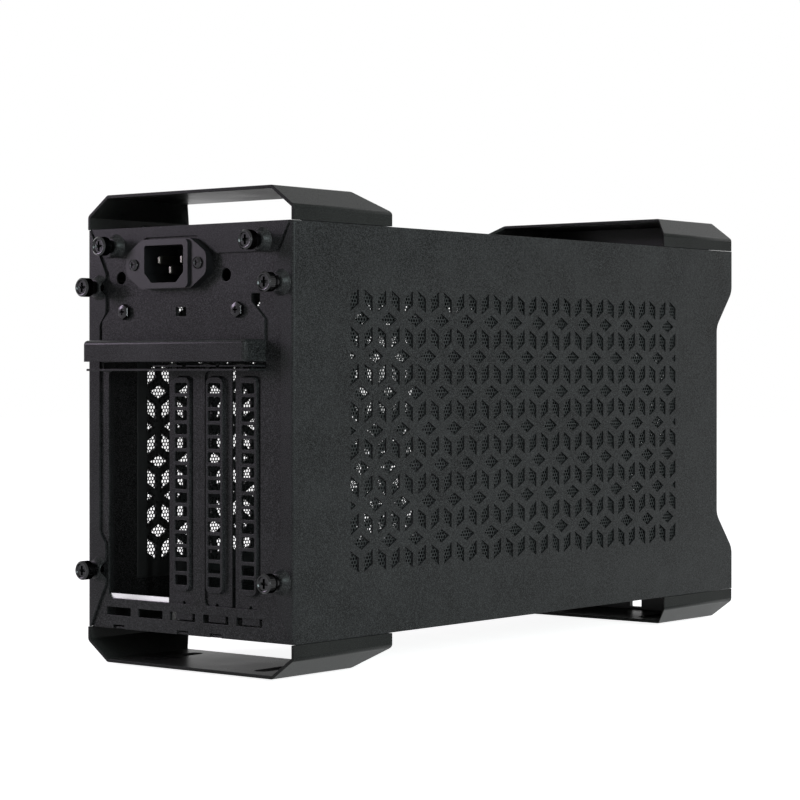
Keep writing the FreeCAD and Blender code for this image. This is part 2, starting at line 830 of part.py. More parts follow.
def rear_panel():
    """The rear panel: openings for the cards, tongue holes, shelf, inlet and screw holes."""
    piece = Piece("rear_panel")
    shelf_top = base + S.opening_high + S.sheet
    piece.add("Y", [rectangle(-inner_half, inner_half, floor_low, roof_low - S.layer_gap)],
              panel_out, panel_in)
    for side in SIDES.values():
        piece.add("X", [rectangle(panel_in, panel_in + S.panel_fold, floor_top, top - S.tab_slope)],
                  *span(side * inner_half, side * (inner_half - S.sheet)))
    piece.add("Z", [rectangle(shelf_left, shelf_right, panel_out - S.shelf_depth, panel_out)],
              shelf_top - S.sheet, shelf_top)
    low, high = base + S.opening_low, base + S.opening_high
    piece.cut("Y", [rounded(start - S.opening_half, end + S.opening_half, low, high, S.opening_round)
                    for start, end in ((slots[0], slots[2]), (slots[3], slots[4]))], panel_out, panel_in)
    piece.cut("Y", [rectangle(shelf_left, shelf_right, shelf_top, shelf_top + S.slit_height)],
              panel_out, panel_in)
    half_wide, half_tall = S.tongue_hole_width / 2, S.tongue_hole_height / 2
    tongue_z = base + S.tongue_hole_z
    piece.cut("Y", [rectangle(x - half_wide, x + half_wide, tongue_z - half_tall, tongue_z + half_tall)
                    for x in slots], panel_out, panel_in)
    piece.cut("Y", [rectangle(x - S.edge_notch_width / 2, x + S.edge_notch_width / 2, floor_low,
                              floor_low + S.edge_notch_height) for x in (slots[0], slots[2], slots[3])],
              panel_out, panel_in)
    screw_y, screw_clear = panel_out - S.slot_screw_y, S.slot_screw_shank + S.screw_clear
    piece.cut("Z", [circle(x, screw_y, screw_clear) for x in slots[:2]]
              + [regular(HOLE_SIDES, screw_clear, x, screw_y) for x in slots[2:]],
              shelf_top - S.sheet, shelf_top)
    inlet_x = S.inlet_x
    half_wide, half_tall = S.inlet_body_half + S.inlet_clear, S.inlet_body_tall + S.inlet_clear
    piece.cut("Y", [rectangle(inlet_x - half_wide, inlet_x + half_wide,
                              inlet_z - half_tall, inlet_z + half_tall)]
              + [regular(HOLE_SIDES, S.inlet_screw_shank + S.screw_clear, inlet_x + side * S.inlet_screw_half,
                         inlet_z) for side in SIDES.values()]
              + [circle(inlet_x + side * S.antenna_half, top - S.antenna_drop, S.antenna_radius)
                 for side in SIDES.values()], panel_out, panel_in)
    screws = [(side * (half_width - S.screw_inset), z) for side in SIDES.values()
              for z in (base + S.screw_end, top - S.screw_end)]
    screws += [(side * S.top_screw_x, top - S.top_screw_drop) for side in SIDES.values()]
    piece.cut("Y", [regular(HOLE_SIDES, screw_hole, x, z) for x, z in screws]
              + [regular(HOLE_SIDES, S.hood_screw_shank + S.screw_clear, S.slot_x + side * S.hood_screw_half,
                         base + S.hood_screw_z) for side in SIDES.values()]
              + [rectangle(S.pull_x - S.pull_width / 2, S.pull_x + S.pull_width / 2,
                           base + S.pull_z - S.pull_height / 2, base + S.pull_z + S.pull_height / 2),
                 hood_slot()], panel_out, panel_in)
    return piece


def contact_strip():
    """A plain metal strip behind the sill of the open card slots, standing a little above it."""
    piece = Piece("contact_strip")
    sill = base + S.opening_low
    return piece.add("Y", [rectangle(slots[0] - S.opening_half, slots[2] - S.cover_half - S.fit_gap,
                                     sill - S.strip_lap, sill + S.strip_rise)], panel_in, panel_in + S.sheet)


def slot_cover(name, x):
    """A perforated cover strip: tongue below, pressed boss with a row of holes, tab on the shelf."""
    piece = Piece(name)
    back = panel_in + S.cover_sheet
    shelf_top = base + S.opening_high + S.sheet
    strip_top = shelf_top + S.cover_sheet
    strip_low = base + S.strip_low
    shoulder, tongue_low = strip_low + S.tongue_half / 2, base + S.tongue_low
    half_outline = [(S.tongue_half, tongue_low), (S.tongue_half, strip_low), (S.cover_half, shoulder),
                    (S.cover_half, strip_top)]
    piece.add("Y", [polygon([(x + wide, z) for wide, z in half_outline]
                            + [(x - wide, z) for wide, z in reversed(half_outline)])], panel_in, back)
    piece.add("Z", [rectangle(x - S.cover_half, x + S.cover_half, panel_out - S.tab_depth, panel_in)],
              shelf_top, strip_top)
    boss_low, boss_high = base + S.boss_low, base + S.boss_high
    piece.add("Y", [rounded(x - S.boss_half, x + S.boss_half, boss_low, boss_high, S.boss_round)],
              panel_in - S.boss_out, panel_in)
    wall = S.cover_sheet
    inside = S.boss_half - wall
    piece.cut("Y", [rectangle(x - inside, x + inside, boss_low + wall, boss_high - wall)],
              panel_in - S.boss_out + wall, back)
    first = base + S.cover_hole_first
    half_wide, half_tall = S.cover_hole_width / 2, S.cover_hole_height / 2
    piece.cut("Z", [regular(HOLE_SIDES, S.slot_screw_shank + S.screw_clear, x, panel_out - S.slot_screw_y)],
              shelf_top, strip_top)
    piece.cut("Y", [rectangle(x - half_wide, x + half_wide, first - half_tall, first + half_tall)],
              panel_in - S.boss_out, panel_in)
    return piece.repeat(S.cover_hole_span, S.cover_holes)


def slot_screws():
    """The screws that hold the three slot covers to the shelf."""
    piece = Piece("slot_screws")
    seat = base + S.opening_high + S.sheet + S.cover_sheet
    for x in slots[2:]:
        screw(piece, "Z", 1.0, (x, panel_out - S.slot_screw_y, seat), 6, S.slot_screw_head,
              S.slot_screw_tall, S.slot_screw_shank, S.slot_screw_down)
    return piece


def slot_hood():
    """The clamp plate with a hood that closes over the card tabs and their screws."""
    piece = Piece("slot_hood")
    left, right = shelf_left + S.hood_inset, shelf_right - S.hood_inset
    hood_top, hood_low = base + S.hood_top, base + S.hood_low
    plate_top, shoulder = base + S.hood_plate_top, base + S.hood_shoulder
    middle = S.slot_x
    step = right - middle - S.hood_plate_half
    back = rear - S.hood_depth
    piece.add("Y", [polygon([(left, hood_top - S.sheet), (right, hood_top - S.sheet), (right, shoulder),
                             (middle + S.hood_plate_half, shoulder + step),
                             (middle + S.hood_plate_half, plate_top), (middle - S.hood_plate_half, plate_top),
                             (middle - S.hood_plate_half, shoulder + step), (left, shoulder)])],
              panel_out - S.sheet, panel_out)
    piece.add("Z", [rectangle(left, right, back, panel_out)], hood_top - S.sheet, hood_top)
    piece.add("Y", [rectangle(left, right, hood_low, hood_top)], back, back + S.sheet)
    for x_low, x_high in ((left, left + S.sheet), (right - S.sheet, right)):
        piece.add("X", [rectangle(back, panel_out, hood_low, hood_top)], x_low, x_high)
    piece.round(S.hood_round, "X", [(back, hood_top)])
    piece.round(S.hood_round, "Z", [(left, back), (right, back)])
    piece.cut("Y", [regular(HOLE_SIDES, S.hood_screw_shank + S.screw_clear, middle + side * S.hood_screw_half,
                            base + S.hood_screw_z) for side in SIDES.values()]
              + [hood_slot()], panel_out - S.sheet, panel_out)
    return piece


def hood_screws():
    """The two hex head screws of the slot hood."""
    piece = Piece("hood_screws")
    for side in SIDES.values():
        middle = (S.slot_x + side * S.hood_screw_half, panel_out - S.sheet, base + S.hood_screw_z)
        screw(piece, "Y", -1.0, middle, 6, S.hood_screw_head, S.hood_screw_tall, S.hood_screw_shank,
              S.hood_screw_grip)
    return piece


def inlet_outline(grow):
    """The six sided outline of the inlet flange, grown all round."""
    x, z = S.inlet_x, inlet_z
    half, tip = S.inlet_half + grow, S.inlet_tip + grow / 2
    block_half, tall = S.inlet_block_half + grow / 2, S.inlet_block_tall + grow
    return polygon([(x - half, z - tip), (x - block_half, z - tall), (x + block_half, z - tall),
                    (x + half, z - tip), (x + half, z + tip), (x + block_half, z + tall),
                    (x - block_half, z + tall), (x - half, z + tip)])


def inlet_socket():
    """The mains inlet: flange with raised block outside, body through the panel, cavity with cut corners."""
    piece = Piece("inlet_socket")
    x, z = S.inlet_x, inlet_z
    wing_face = panel_out - S.inlet_wing
    block_face = wing_face - S.inlet_block_out
    body_end = panel_in + S.inlet_body_depth
    piece.add("Y", [inlet_outline(ZERO)], wing_face, panel_out)
    piece.add("Y", [rectangle(x - S.inlet_block_half, x + S.inlet_block_half, z - S.inlet_block_tall,
                              z + S.inlet_block_tall)], block_face, wing_face)
    piece.add("Y", [rectangle(x - S.inlet_body_half, x + S.inlet_body_half, z - S.inlet_body_tall,
                              z + S.inlet_body_tall)], panel_out, body_end)
    wide, tall, corner = S.inlet_cavity_half, S.inlet_cavity_tall, S.inlet_chamfer
    piece.cut("Y", [polygon([(x - wide + corner, z - tall), (x + wide - corner, z - tall),
                             (x + wide, z - tall + corner), (x + wide, z + tall), (x - wide, z + tall),
                             (x - wide, z - tall + corner)])], block_face, body_end - S.inlet_floor)
    piece.cut("Y", [rectangle(u - S.pin_half_width, u + S.pin_half_width, v - S.pin_half_height,
                              v + S.pin_half_height) for u, v in pin_places()],
              body_end - S.inlet_floor, body_end)
    piece.cut("Y", [regular(HOLE_SIDES, S.inlet_screw_shank + S.screw_clear, x + side * S.inlet_screw_half, z)
                    for side in SIDES.values()], wing_face, panel_out)
    return piece


def pin_places():
    x, z = S.inlet_x, inlet_z
    return [(x - S.pin_spread, z + S.pin_high), (x + S.pin_spread, z + S.pin_high), (x, z + S.pin_low)]


def inlet_pins():
    """The three blades of the inlet, with their tails behind."""
    piece = Piece("inlet_pins")
    start = panel_out - S.inlet_wing - S.inlet_block_out + S.pin_inset
    for x, z in pin_places():
        piece.add("Y", [rectangle(x - S.pin_half_width, x + S.pin_half_width, z - S.pin_half_height,
                                  z + S.pin_half_height)], start, panel_in + S.inlet_body_depth + S.pin_tail)
    return piece


def inlet_screws():
    """The two round head screws of the inlet."""
    piece = Piece("inlet_screws")
    seat = panel_out - S.inlet_wing
    grip = S.inlet_wing + 2 * S.sheet
    for side in SIDES.values():
        screw(piece, "Y", -1.0, (S.inlet_x + side * S.inlet_screw_half, seat, inlet_z), HOLE_SIDES,
              S.inlet_screw_head, S.inlet_screw_tall, S.inlet_screw_shank, grip)
    return piece


def top_cover():
    """The roof: plate, sides folded down, rear flange cut out round the inlet, domes, vents."""
    piece = Piece("top_cover")
    flange_low = roof_low - S.cover_flange
    cover_front = front - S.cover_front_gap
    piece.add("Z", [rectangle(-inner_half, inner_half, rear, cover_front)], roof_low, roof_top)
    for side in SIDES.values():
        piece.add("X", [rectangle(panel_in + S.slide_travel + S.fit_gap, cover_front - S.cover_side_end,
                                  roof_low - S.cover_side, roof_low)],
                  *span(side * inner_half, side * (inner_half - S.sheet)))
    wide_low, wide_top = half_width - S.cover_flange_low, half_width - S.cover_flange_top
    piece.add("Y", [polygon([(-wide_low, flange_low), (wide_low, flange_low), (wide_top, roof_low),
                             (-wide_top, roof_low)])], rear, rear + S.sheet)
    for side in SIDES.values():
        dome(piece, side * S.top_screw_x, top - S.top_screw_drop)
    piece.cut("Y", [rectangle(-half_width, half_width, flange_low - S.dome_base, flange_low)],
              rear - S.dome_height - 1, rear + S.sheet + 1)
    piece.cut("Y", [inlet_outline(S.inlet_relief)], rear, rear + S.sheet)
    for side in SIDES.values():
        piece.cut("Z", [regular(HOLE_SIDES, S.bracket_screw_shank + S.screw_clear,
                                side * (half_width - S.bracket_screw_inset), outer - end * S.bracket_screw_y)
                        for outer, end in ((rear, -1.0), (front, 1.0))], roof_low - 1, roof_top + 1)
    doc.recompute()
    holes = tumbling_blocks(int(S.cover_columns.number), int(S.cover_rows.number), S.cover_vent_edge.number,
                            S.vent_strut.number, (rear + S.body_length / 2).number, 0.0)
    return perforate(piece, "top_cover", "Z", roof_low - 1, roof_top + 1, [[(v, u) for u, v in hole]
                                                                          for hole in holes])


def rail(name, side):
    """An angle rail under the roof's edge, from the rear panel to the front wall."""
    outer = inner_half - S.sheet - S.rail_gap
    piece = Piece(name)
    high = roof_low - S.layer_gap
    piece.add("X", [rectangle(panel_in, wall_back, high - S.rail_height, high)],
              *span(side * outer, side * (outer - S.sheet)))
    inner = S.fan_size / 2 + S.rail_to_fan
    piece.add("Z", [rectangle(*span(side * outer, side * inner), panel_in, wall_back)],
              high - S.sheet, high)
    return piece


def front_wall():
    """The inner front wall, open beside the power supply."""
    piece = Piece("front_wall")
    piece.add("Y", [rectangle(-inner_half, inner_half, floor_top, roof_low - S.layer_gap)],
              wall_back, wall_back + S.sheet)
    window = rounded(S.wall_window_left, S.wall_window_right, base + S.wall_window_low,
                     top - S.wall_window_drop, S.opening_round)
    return piece.cut("Y", [window], wall_back, wall_back + S.sheet)


def floor_posts():
    """Threaded posts on the floor for a baseboard."""
    piece = Piece("floor_posts")
    for y in (S.post_rear_y, S.post_front_y):
        for side in SIDES.values():
            place = (side * S.post_half, rear + y)
            piece.add("Z", [regular(6, S.post_radius, *place), regular(HOLE_SIDES, S.post_bore, *place)],
                      floor_top, floor_top + S.post_height)
    return piece


def supply_places():
    """The power supply's box: against the left side and the front wall, under the front fan."""
    left = S.sheet + S.fit_gap - inner_half
    high = roof_low - S.fan_depth - S.supply_clear
    back, low = wall_back - S.supply_depth, high - S.supply_height
    return (left, left + S.supply_width), (back, wall_back), (low, high)


def supply_case():
    """The power supply's case, open on the side its lid closes."""
    (left, right), (back, front_face), (low, high) = supply_places()
    piece = Piece("supply_case")
    wall = S.supply_sheet
    piece.add("X", [rectangle(back, front_face, low, high)], left, right - wall)
    inside = rectangle(back + wall, front_face - wall, low + wall, high - wall)
    return piece.cut("X", [inside], left + wall, right)


def supply_lid():
    """The power supply's lid with vent slots."""
    (left, right), (back, front_face), (low, high) = supply_places()
    piece = Piece("supply_lid")
    piece.add("X", [rectangle(back, front_face, low, high)], right - S.supply_sheet, right)
    first = low + S.supply_slot_first
    piece.cut("X", [rectangle(back + S.supply_slot_margin, front_face - S.supply_slot_margin, first,
                              first + S.supply_slot_width)], right - S.supply_sheet, right)
    return piece.repeat(S.supply_slot_span, S.supply_slots)


def supply_stand():
    """A bridge of sheet metal that carries the power supply above the floor."""
    (left, right), (back, front_face), (low, high) = supply_places()
    piece = Piece("supply_stand")
    wall = S.stand_sheet
    piece.add("Z", [rectangle(left, right, back, front_face)], low - wall, low)
    for leg_back in (back, front_face - wall):
        piece.add("Y", [rectangle(left, right, floor_top, low - wall)], leg_back, leg_back + wall)
        foot = rectangle(left, right, leg_back - S.stand_foot, leg_back)
        piece.add("Z", [foot], floor_top, floor_top + wall)
    return piece


def fan_frame(name, y):
    """A square fan frame with a round bore, a hub plate and four arms."""
    piece = Piece(name)
    half = S.fan_size / 2
    low = roof_low - S.fan_depth
    piece.add("Z", [rectangle(-half, half, y - half, y + half), regular(32, S.fan_bore, ZERO, y)],
              low, roof_low)
    arm = S.fan_arm / 2
    piece.add("Z", [rectangle(-S.fan_bore - 0.5, S.fan_bore + 0.5, y - arm, y + arm)], low, low + S.fan_base)
    piece.add("Z", [rectangle(-arm, arm, y - S.fan_bore - 0.5, y + S.fan_bore + 0.5)], low, low + S.fan_base)
    piece.add("Z", [regular(HUB_SIDES, S.fan_hub, ZERO, y)], low, low + S.fan_base)
    return piece


def fan_rotor(name, y):
    """A fan rotor: hub on a round axle, with tilted blades that are boxes set round it by code."""
    low = roof_low - S.fan_depth + S.fan_rotor_low
    height = S.fan_rotor_high - S.fan_rotor_low
    hub = doc.addObject("Part::Prism", f"{name}_hub")
    hub.Polygon = HUB_SIDES
    bind(hub, "Circumradius", S.fan_hub)
    bind(hub, "Height", height)
    axle = doc.addObject("Part::Cylinder", f"{name}_axle")
    bind(axle, "Radius", S.fan_axle)
    bind(axle, "Height", height + S.fan_axle_proud)
    for core in (hub, axle):
        for letter, value in zip("xyz", (ZERO, y, low)):
            bind(core, f"Placement.Base.{letter}", value)
    middle = low + height / 2
    inner = S.fan_hub * 0.8
    blades = []
    count = int(S.fan_blades.number)
    for number in range(count):
        blade = Part.makeBox((S.fan_blade_reach - inner).number, S.fan_blade_width.number,
                             S.fan_blade_thick.number,
                             FreeCAD.Vector(inner.number, -S.fan_blade_width.number / 2,
                                            -S.fan_blade_thick.number / 2))
        blade.rotate(FreeCAD.Vector(0, 0, 0), FreeCAD.Vector(1, 0, 0), S.fan_blade_tilt.number)
        blade.rotate(FreeCAD.Vector(0, 0, 0), FreeCAD.Vector(0, 0, 1), 360.0 * number / count)
        blades.append(blade)
    vanes = doc.addObject("Part::Feature", f"{name}_blades")
    vanes.Shape = Part.makeCompound(blades)
    for letter, value in zip("xyz", (ZERO, y, middle)):
        bind(vanes, f"Placement.Base.{letter}", value)
    rotor = doc.addObject("Part::MultiFuse", name)
    rotor.Shapes = [hub, axle, vanes]
    rotor.Label = name
    return rotor


# Faces of the front panel's lower nose, where the ports sit
nose_face = front - S.front_inset
nose_back = nose_face - S.front_sheet
port_z = base + S.port_z
board_top = port_z - S.usb_half_height - S.port_wall
board_front = nose_back - S.button_collar_tall - S.button_travel - 2 * S.fit_gap
usb_places = [S.usb_first_x, S.usb_first_x + S.usb_pitch]
PORT_SIDES = 20


def front_panel():
    """The outer front: one folded sheet that follows the side panels' stepped edge, with port holes."""
    piece = Piece("front_panel")
    shift = S.front_sheet
    step = S.notch_depth
    low, high = floor_top, roof_low - S.fit_gap
    edge = [(nose_face, low), (nose_face, base + S.nose_height), (nose_face - step, base + S.notch_start),
            (nose_face - step, top - S.notch_start), (nose_face, top - S.nose_height), (nose_face, high)]
    ring = edge + [(y - shift, z) for y, z in reversed(edge)]
    piece.add("X", [polygon(ring)], -inner_half, inner_half)
    for z_low, z_high in ((low, low + S.sheet), (high - S.sheet, high)):
        piece.add("Z", [rectangle(-inner_half, inner_half, nose_back - S.front_lip, nose_back)],
                  z_low, z_high)
    loops = [rectangle(x - S.usb_half_width - S.port_clear, x + S.usb_half_width + S.port_clear,
                       port_z - S.usb_half_height - S.port_clear, port_z + S.usb_half_height + S.port_clear)
             for x in usb_places]
    loops.append(regular(PORT_SIDES, S.jack_radius + S.port_clear, S.jack_x, port_z))
    loops.append(regular(PORT_SIDES, S.button_radius + S.port_clear, S.button_x, port_z))
    piece.cut("Y", loops, nose_back, nose_face)
    doc.recompute()
    holes = tumbling_blocks(int(S.front_columns.number), int(S.front_rows.number), S.front_vent_edge.number,
                            S.vent_strut.number, 0.0, (base + S.body_height / 2).number)
    middle = nose_face - step
    return perforate(piece, "front_panel", "Y", middle - shift - 1, middle + 1, holes)


def front_mesh():
    """The fine mesh behind the front panel's vents, drawn plain."""
    outer = nose_face - S.notch_depth - S.front_sheet
    half_wide = S.front_columns * S.front_vent_edge * (SQUARE_THIRD / 2) + S.mesh_margin
    half_tall = S.front_rows * S.front_vent_edge * 0.75 + S.mesh_margin
    middle = base + S.body_height / 2
    return block("front_mesh", (-half_wide, half_wide), (outer - S.mesh_sheet, outer),
                 (middle - half_tall, middle + half_tall))


def usb_port(name, x):
    """A port shell with its tongue."""
    piece = Piece(name)
    wide, tall, wall = S.usb_half_width, S.usb_half_height, S.port_wall
    mouth = nose_face
    piece.add("Y", [rectangle(x - wide, x + wide, port_z - tall, port_z + tall)], mouth - S.usb_depth, mouth)
    piece.cut("Y", [rectangle(x - wide + wall, x + wide - wall, port_z - tall + wall, port_z + tall - wall)],
              mouth - S.usb_depth + 2 * wall, mouth)
    piece.add("Y", [rectangle(x - S.usb_tongue_half, x + S.usb_tongue_half,
                              port_z + tall - wall - S.usb_tongue_thick, port_z + tall - wall / 2)],
              mouth - S.usb_depth + wall, mouth - 2 * wall)
    piece.add("Y", [rectangle(x - wide, x + wide, board_top, port_z - tall)], mouth - S.usb_depth,
              nose_back - S.fit_gap)
    return piece


def audio_jack():
    """A jack barrel on a small block."""
    piece = Piece("audio_jack")
    x, radius = S.jack_x, S.jack_radius
    mouth = nose_face
    back = mouth - S.jack_depth
    body_front = nose_back - S.fit_gap
    piece.add("Y", [regular(PORT_SIDES, radius, x, port_z)], back, mouth)
    piece.add("Y", [rectangle(x - radius, x + radius, board_top, port_z + radius)], back, body_front)
    return piece.cut("Y", [regular(PORT_SIDES, S.jack_bore, x, port_z)], back + 2 * S.port_wall, mouth)


def power_button():
    """A round push button kept behind the front panel by its collar."""
    piece = Piece("power_button")
    x = S.button_x
    collar_front = nose_back - S.fit_gap
    collar_back = collar_front - S.button_collar_tall
    piece.add("Y", [regular(PORT_SIDES, S.button_radius, x, port_z)], collar_front, front)
    piece.add("Y", [regular(PORT_SIDES, S.button_collar, x, port_z)], collar_back, collar_front)
    return piece.add("Y", [regular(HOLE_SIDES, S.button_stem, x, port_z)], collar_back - S.button_travel,
                     collar_back)


def power_switch():
    """The switch behind the power button, standing on the board."""
    x, half = S.button_x, S.switch_half
    face = nose_back - S.fit_gap - S.button_collar_tall - S.button_travel * 2 - S.fit_gap
    return block("power_switch", (x - half, x + half), (face - S.switch_depth, face),
                 (board_top, port_z + half))


def port_board():
    """The small board under the ports."""
    return block("port_board", (-S.board_half, S.board_half), (board_front - S.board_depth, board_front),
                 (board_top - S.board_sheet, board_top))


def port_posts():
    """Two posts that carry the port board off the floor."""
    piece = Piece("port_posts")
    y = board_front - S.board_depth / 2
    for side in SIDES.values():
        piece.add("Z", [regular(HOLE_SIDES, S.board_post_radius, side * S.board_post_half, y)],
                  floor_top + S.sheet, board_top - S.board_sheet)
    return piece


keep(bottom_tray())
keep(rear_panel())
keep(front_wall())
keep(front_panel())
keep(front_mesh())
keep(top_cover())
keep(slot_hood())
keep(hood_screws())
for cover_name, cover_x in zip(("slot_cover_a", "slot_cover_b", "slot_cover_c"), slots[2:]):
    keep(slot_cover(cover_name, cover_x))
keep(slot_screws())
keep(contact_strip())
keep(inlet_socket())
keep(inlet_pins())
keep(inlet_screws())
keep(floor_posts())
keep(supply_stand())
keep(supply_case())
keep(supply_lid())
for end_name, end_sign in (("rear", -1.0), ("front", 1.0)):
    keep(bracket(f"{end_name}_top_bracket", end_sign, 1.0))
    keep(bracket(f"{end_name}_bottom_bracket", end_sign, -1.0))
keep(bracket_insert("front_top_insert", 1.0))
keep(bracket_insert("front_bottom_insert", -1.0))
keep(bracket_screws("top_bracket_screws", 1.0))
keep(bracket_screws("bottom_bracket_screws", -1.0))
keep(rubber_feet())
for fan_name, fan_y in (("rear", rear + S.fan_rear_y), ("front", rear + S.fan_rear_y + S.fan_pitch)):
    keep(fan_frame(f"{fan_name}_fan_frame", fan_y))
    keep(fan_rotor(f"{fan_name}_fan_rotor", fan_y))
for side_name, side_sign in SIDES.items():
    keep(side_panel(f"{side_name}_side_panel", side_sign))
    keep(side_mesh(f"{side_name}_mesh", side_sign))
    keep(rail(f"{side_name}_rail", side_sign))
    side_x = side_sign * (half_width - S.screw_inset)
    keep(thumbscrew(f"{side_name}_lower_thumbscrew", side_x, base + S.screw_end))
    keep(thumbscrew(f"{side_name}_upper_thumbscrew", side_x, top - S.screw_end))
    keep(thumbscrew(f"{side_name}_top_thumbscrew", side_sign * S.top_screw_x, top - S.top_screw_drop))
for port_name, port_x in zip(("usb_port_a", "usb_port_b"), usb_places):
    keep(usb_port(port_name, port_x))
keep(audio_jack())
keep(power_button())
keep(power_switch())
keep(port_board())
keep(port_posts())

doc.recompute()
failed = [f"{item.Label} of {[user.Label for user in item.InListRecursive]}" for item in doc.Objects
          if "Invalid" in item.State or "Error" in item.State]
if failed:
    raise RuntimeError(f"not built: {failed}")
os.makedirs("parts", exist_ok=True)
for node in nodes:
    if node.Shape.isNull() or not node.Shape.isValid():
        raise RuntimeError(f"{node.Label} has no sound shape")
    node.Shape.exportStep(f"parts/{node.Label}.step")
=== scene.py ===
"""The small form factor computer case, dressed for its picture.

Lengths in this file are millimetres in the part's own frame: +X right as seen from behind, +Y from the
rear to the front, +Z up. A mesh is brought to metres when its object is made. The studio is in metres.
"""
import json
import logging
import math
from dataclasses import dataclass, field
from enum import Enum
from typing import Any, ClassVar, Iterable, Sequence

import bmesh
import bpy
from bmesh.types import BMEdge, BMFace, BMVert
from mathutils import Matrix, Vector


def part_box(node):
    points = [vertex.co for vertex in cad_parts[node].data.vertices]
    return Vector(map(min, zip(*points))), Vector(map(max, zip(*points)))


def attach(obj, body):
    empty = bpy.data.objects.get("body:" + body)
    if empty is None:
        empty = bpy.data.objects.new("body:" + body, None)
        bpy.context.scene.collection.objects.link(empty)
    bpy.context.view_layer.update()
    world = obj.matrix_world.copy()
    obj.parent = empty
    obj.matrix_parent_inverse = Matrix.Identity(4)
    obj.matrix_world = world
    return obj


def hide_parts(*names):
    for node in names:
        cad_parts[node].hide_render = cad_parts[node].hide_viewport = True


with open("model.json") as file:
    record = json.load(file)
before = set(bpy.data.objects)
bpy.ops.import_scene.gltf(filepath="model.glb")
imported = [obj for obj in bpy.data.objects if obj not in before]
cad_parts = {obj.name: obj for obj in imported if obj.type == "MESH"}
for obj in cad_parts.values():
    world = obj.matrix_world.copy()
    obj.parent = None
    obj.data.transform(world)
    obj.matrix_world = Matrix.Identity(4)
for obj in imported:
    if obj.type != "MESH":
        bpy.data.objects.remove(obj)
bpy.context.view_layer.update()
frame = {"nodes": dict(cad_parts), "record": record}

MM = 0.001
log = logging.getLogger("case")

Point = tuple[float, float]
Loop = list[Point]
Triple = tuple[float, float, float]

UP = Vector((0.0, 0.0, 1.0))
FORWARD = Vector((0.0, 1.0, 0.0))
REARWARD = Vector((0.0, -1.0, 0.0))

# The most of a side that a rounded corner takes.
CORNER_SHARE = 0.49
# How close points lie that count as one: in a turned form, in a piece, and where skins are sewn together.
TOUCHING = 1e-4
NEAR = 1e-3
SEAM = 0.01
# How close to a cutting plane a point lies that counts as on it.
ON_PLANE = 1e-5
# The size of a recess's floor against its mouth.
RECESS_TAPER = 0.55
# The radians that a wave texture runs through in one unit.
WAVE_RADIANS = 20.0
HEX_SIDES = 6


# Outlines
def arc(u: float, v: float, radius: float, start: float, sweep: float, steps: int) -> Loop:
    """Points along an arc.

    Args:
        u, v: The arc's middle.
        radius: Its radius.
        start, sweep: Its first direction and how far it turns, in degrees.
        steps: How many straight pieces it is drawn with.

    Returns:
        The points from its start to its end.
    """
    angles = [math.radians(start + sweep * step / steps) for step in range(steps + 1)]
    return [(u + radius * math.cos(angle), v + radius * math.sin(angle)) for angle in angles]


def ring(u: float, v: float, radius: float, steps: int = 32) -> Loop:
    """A circle drawn with straight pieces."""
    return arc(u, v, radius, 0.0, 360.0, steps)[:-1]


def oblong(u_low: float, u_high: float, v_low: float, v_high: float) -> Loop:
    """A rectangle."""
    return [(u_low, v_low), (u_high, v_low), (u_high, v_high), (u_low, v_high)]


def softened(loop: Loop, radius: float, steps: int = 4, only: Iterable[int] | None = None) -> Loop:
    """Round the corners of a closed outline.

    Args:
        loop: The outline's corners.
        radius: The corner radius, made smaller where a side is too short for it.
        steps: Straight pieces in each corner.
        only: The corners to round, or None for all of them.

    Returns:
        The outline with arcs at those corners.
    """
    chosen = set(range(len(loop)) if only is None else only)
    points: Loop = []
    for number, corner in enumerate(loop):
        if number not in chosen:
            points.append(corner)
            continue
        here = Vector(corner)
        back, ahead = (Vector(loop[(number + step) % len(loop)]) - here for step in (-1, 1))
        half_angle = back.angle(ahead) / 2.0
        shorter = min(back.length, ahead.length)
        reach = min(radius / math.tan(half_angle), CORNER_SHARE * shorter)
        inner = reach * math.tan(half_angle)
        start, end = here + back.normalized() * reach, here + ahead.normalized() * reach
        inward = (back.normalized() + ahead.normalized()).normalized()
        middle = here + inward * (inner / math.sin(half_angle))
        first, last = start - middle, end - middle
        turn = math.atan2(first.x * last.y - first.y * last.x, first.dot(last))
        for step in range(steps + 1):
            spoke = first.copy()
            spoke.rotate(Matrix.Rotation(turn * step / steps, 2))
            points.append(tuple(middle + spoke))
    return points


def capsule(u: float, half_width: float, v_low: float, v_high: float, steps: int = 12) -> Loop:
    """A slot with round ends, long in v."""
    return (arc(u, v_high - half_width, half_width, 0.0, 180.0, steps)
            + arc(u, v_low + half_width, half_width, 180.0, 180.0, steps))


def cross(length: float, width: float) -> Loop:
    """The outline of a cross recess round the origin.

    Args:
        length, width: How far two arms reach together, and how wide an arm is.

    Returns:
        The outline.
    """
    far, near = length / 2.0, width / 2.0
    return [(far, -near), (far, near), (near, near), (near, far), (-near, far), (-near, near),
            (-far, near), (-far, -near), (-near, -near), (-near, -far), (near, -far), (near, -near)]


class Axis(Enum):
    """The axis that an outline is drawn across."""

    X = 0
    Y = 1
    Z = 2

    def place(self, u: float, v: float, at: float) -> Vector:
        """The point (u, v) of an outline, at a place along this axis."""
        return Vector(((at, u, v), (u, at, v), (u, v, at))[self.value])

    def along(self, distance: float) -> Vector:
        """A move along this axis."""
        return self.place(0.0, 0.0, distance)


class Edge(Enum):
    """How softly the edges of a piece are broken, in millimetres."""

    KEEN = 0.0
    SHEET = 0.22
    MOULDED = 0.4
    FOLDED = 0.45


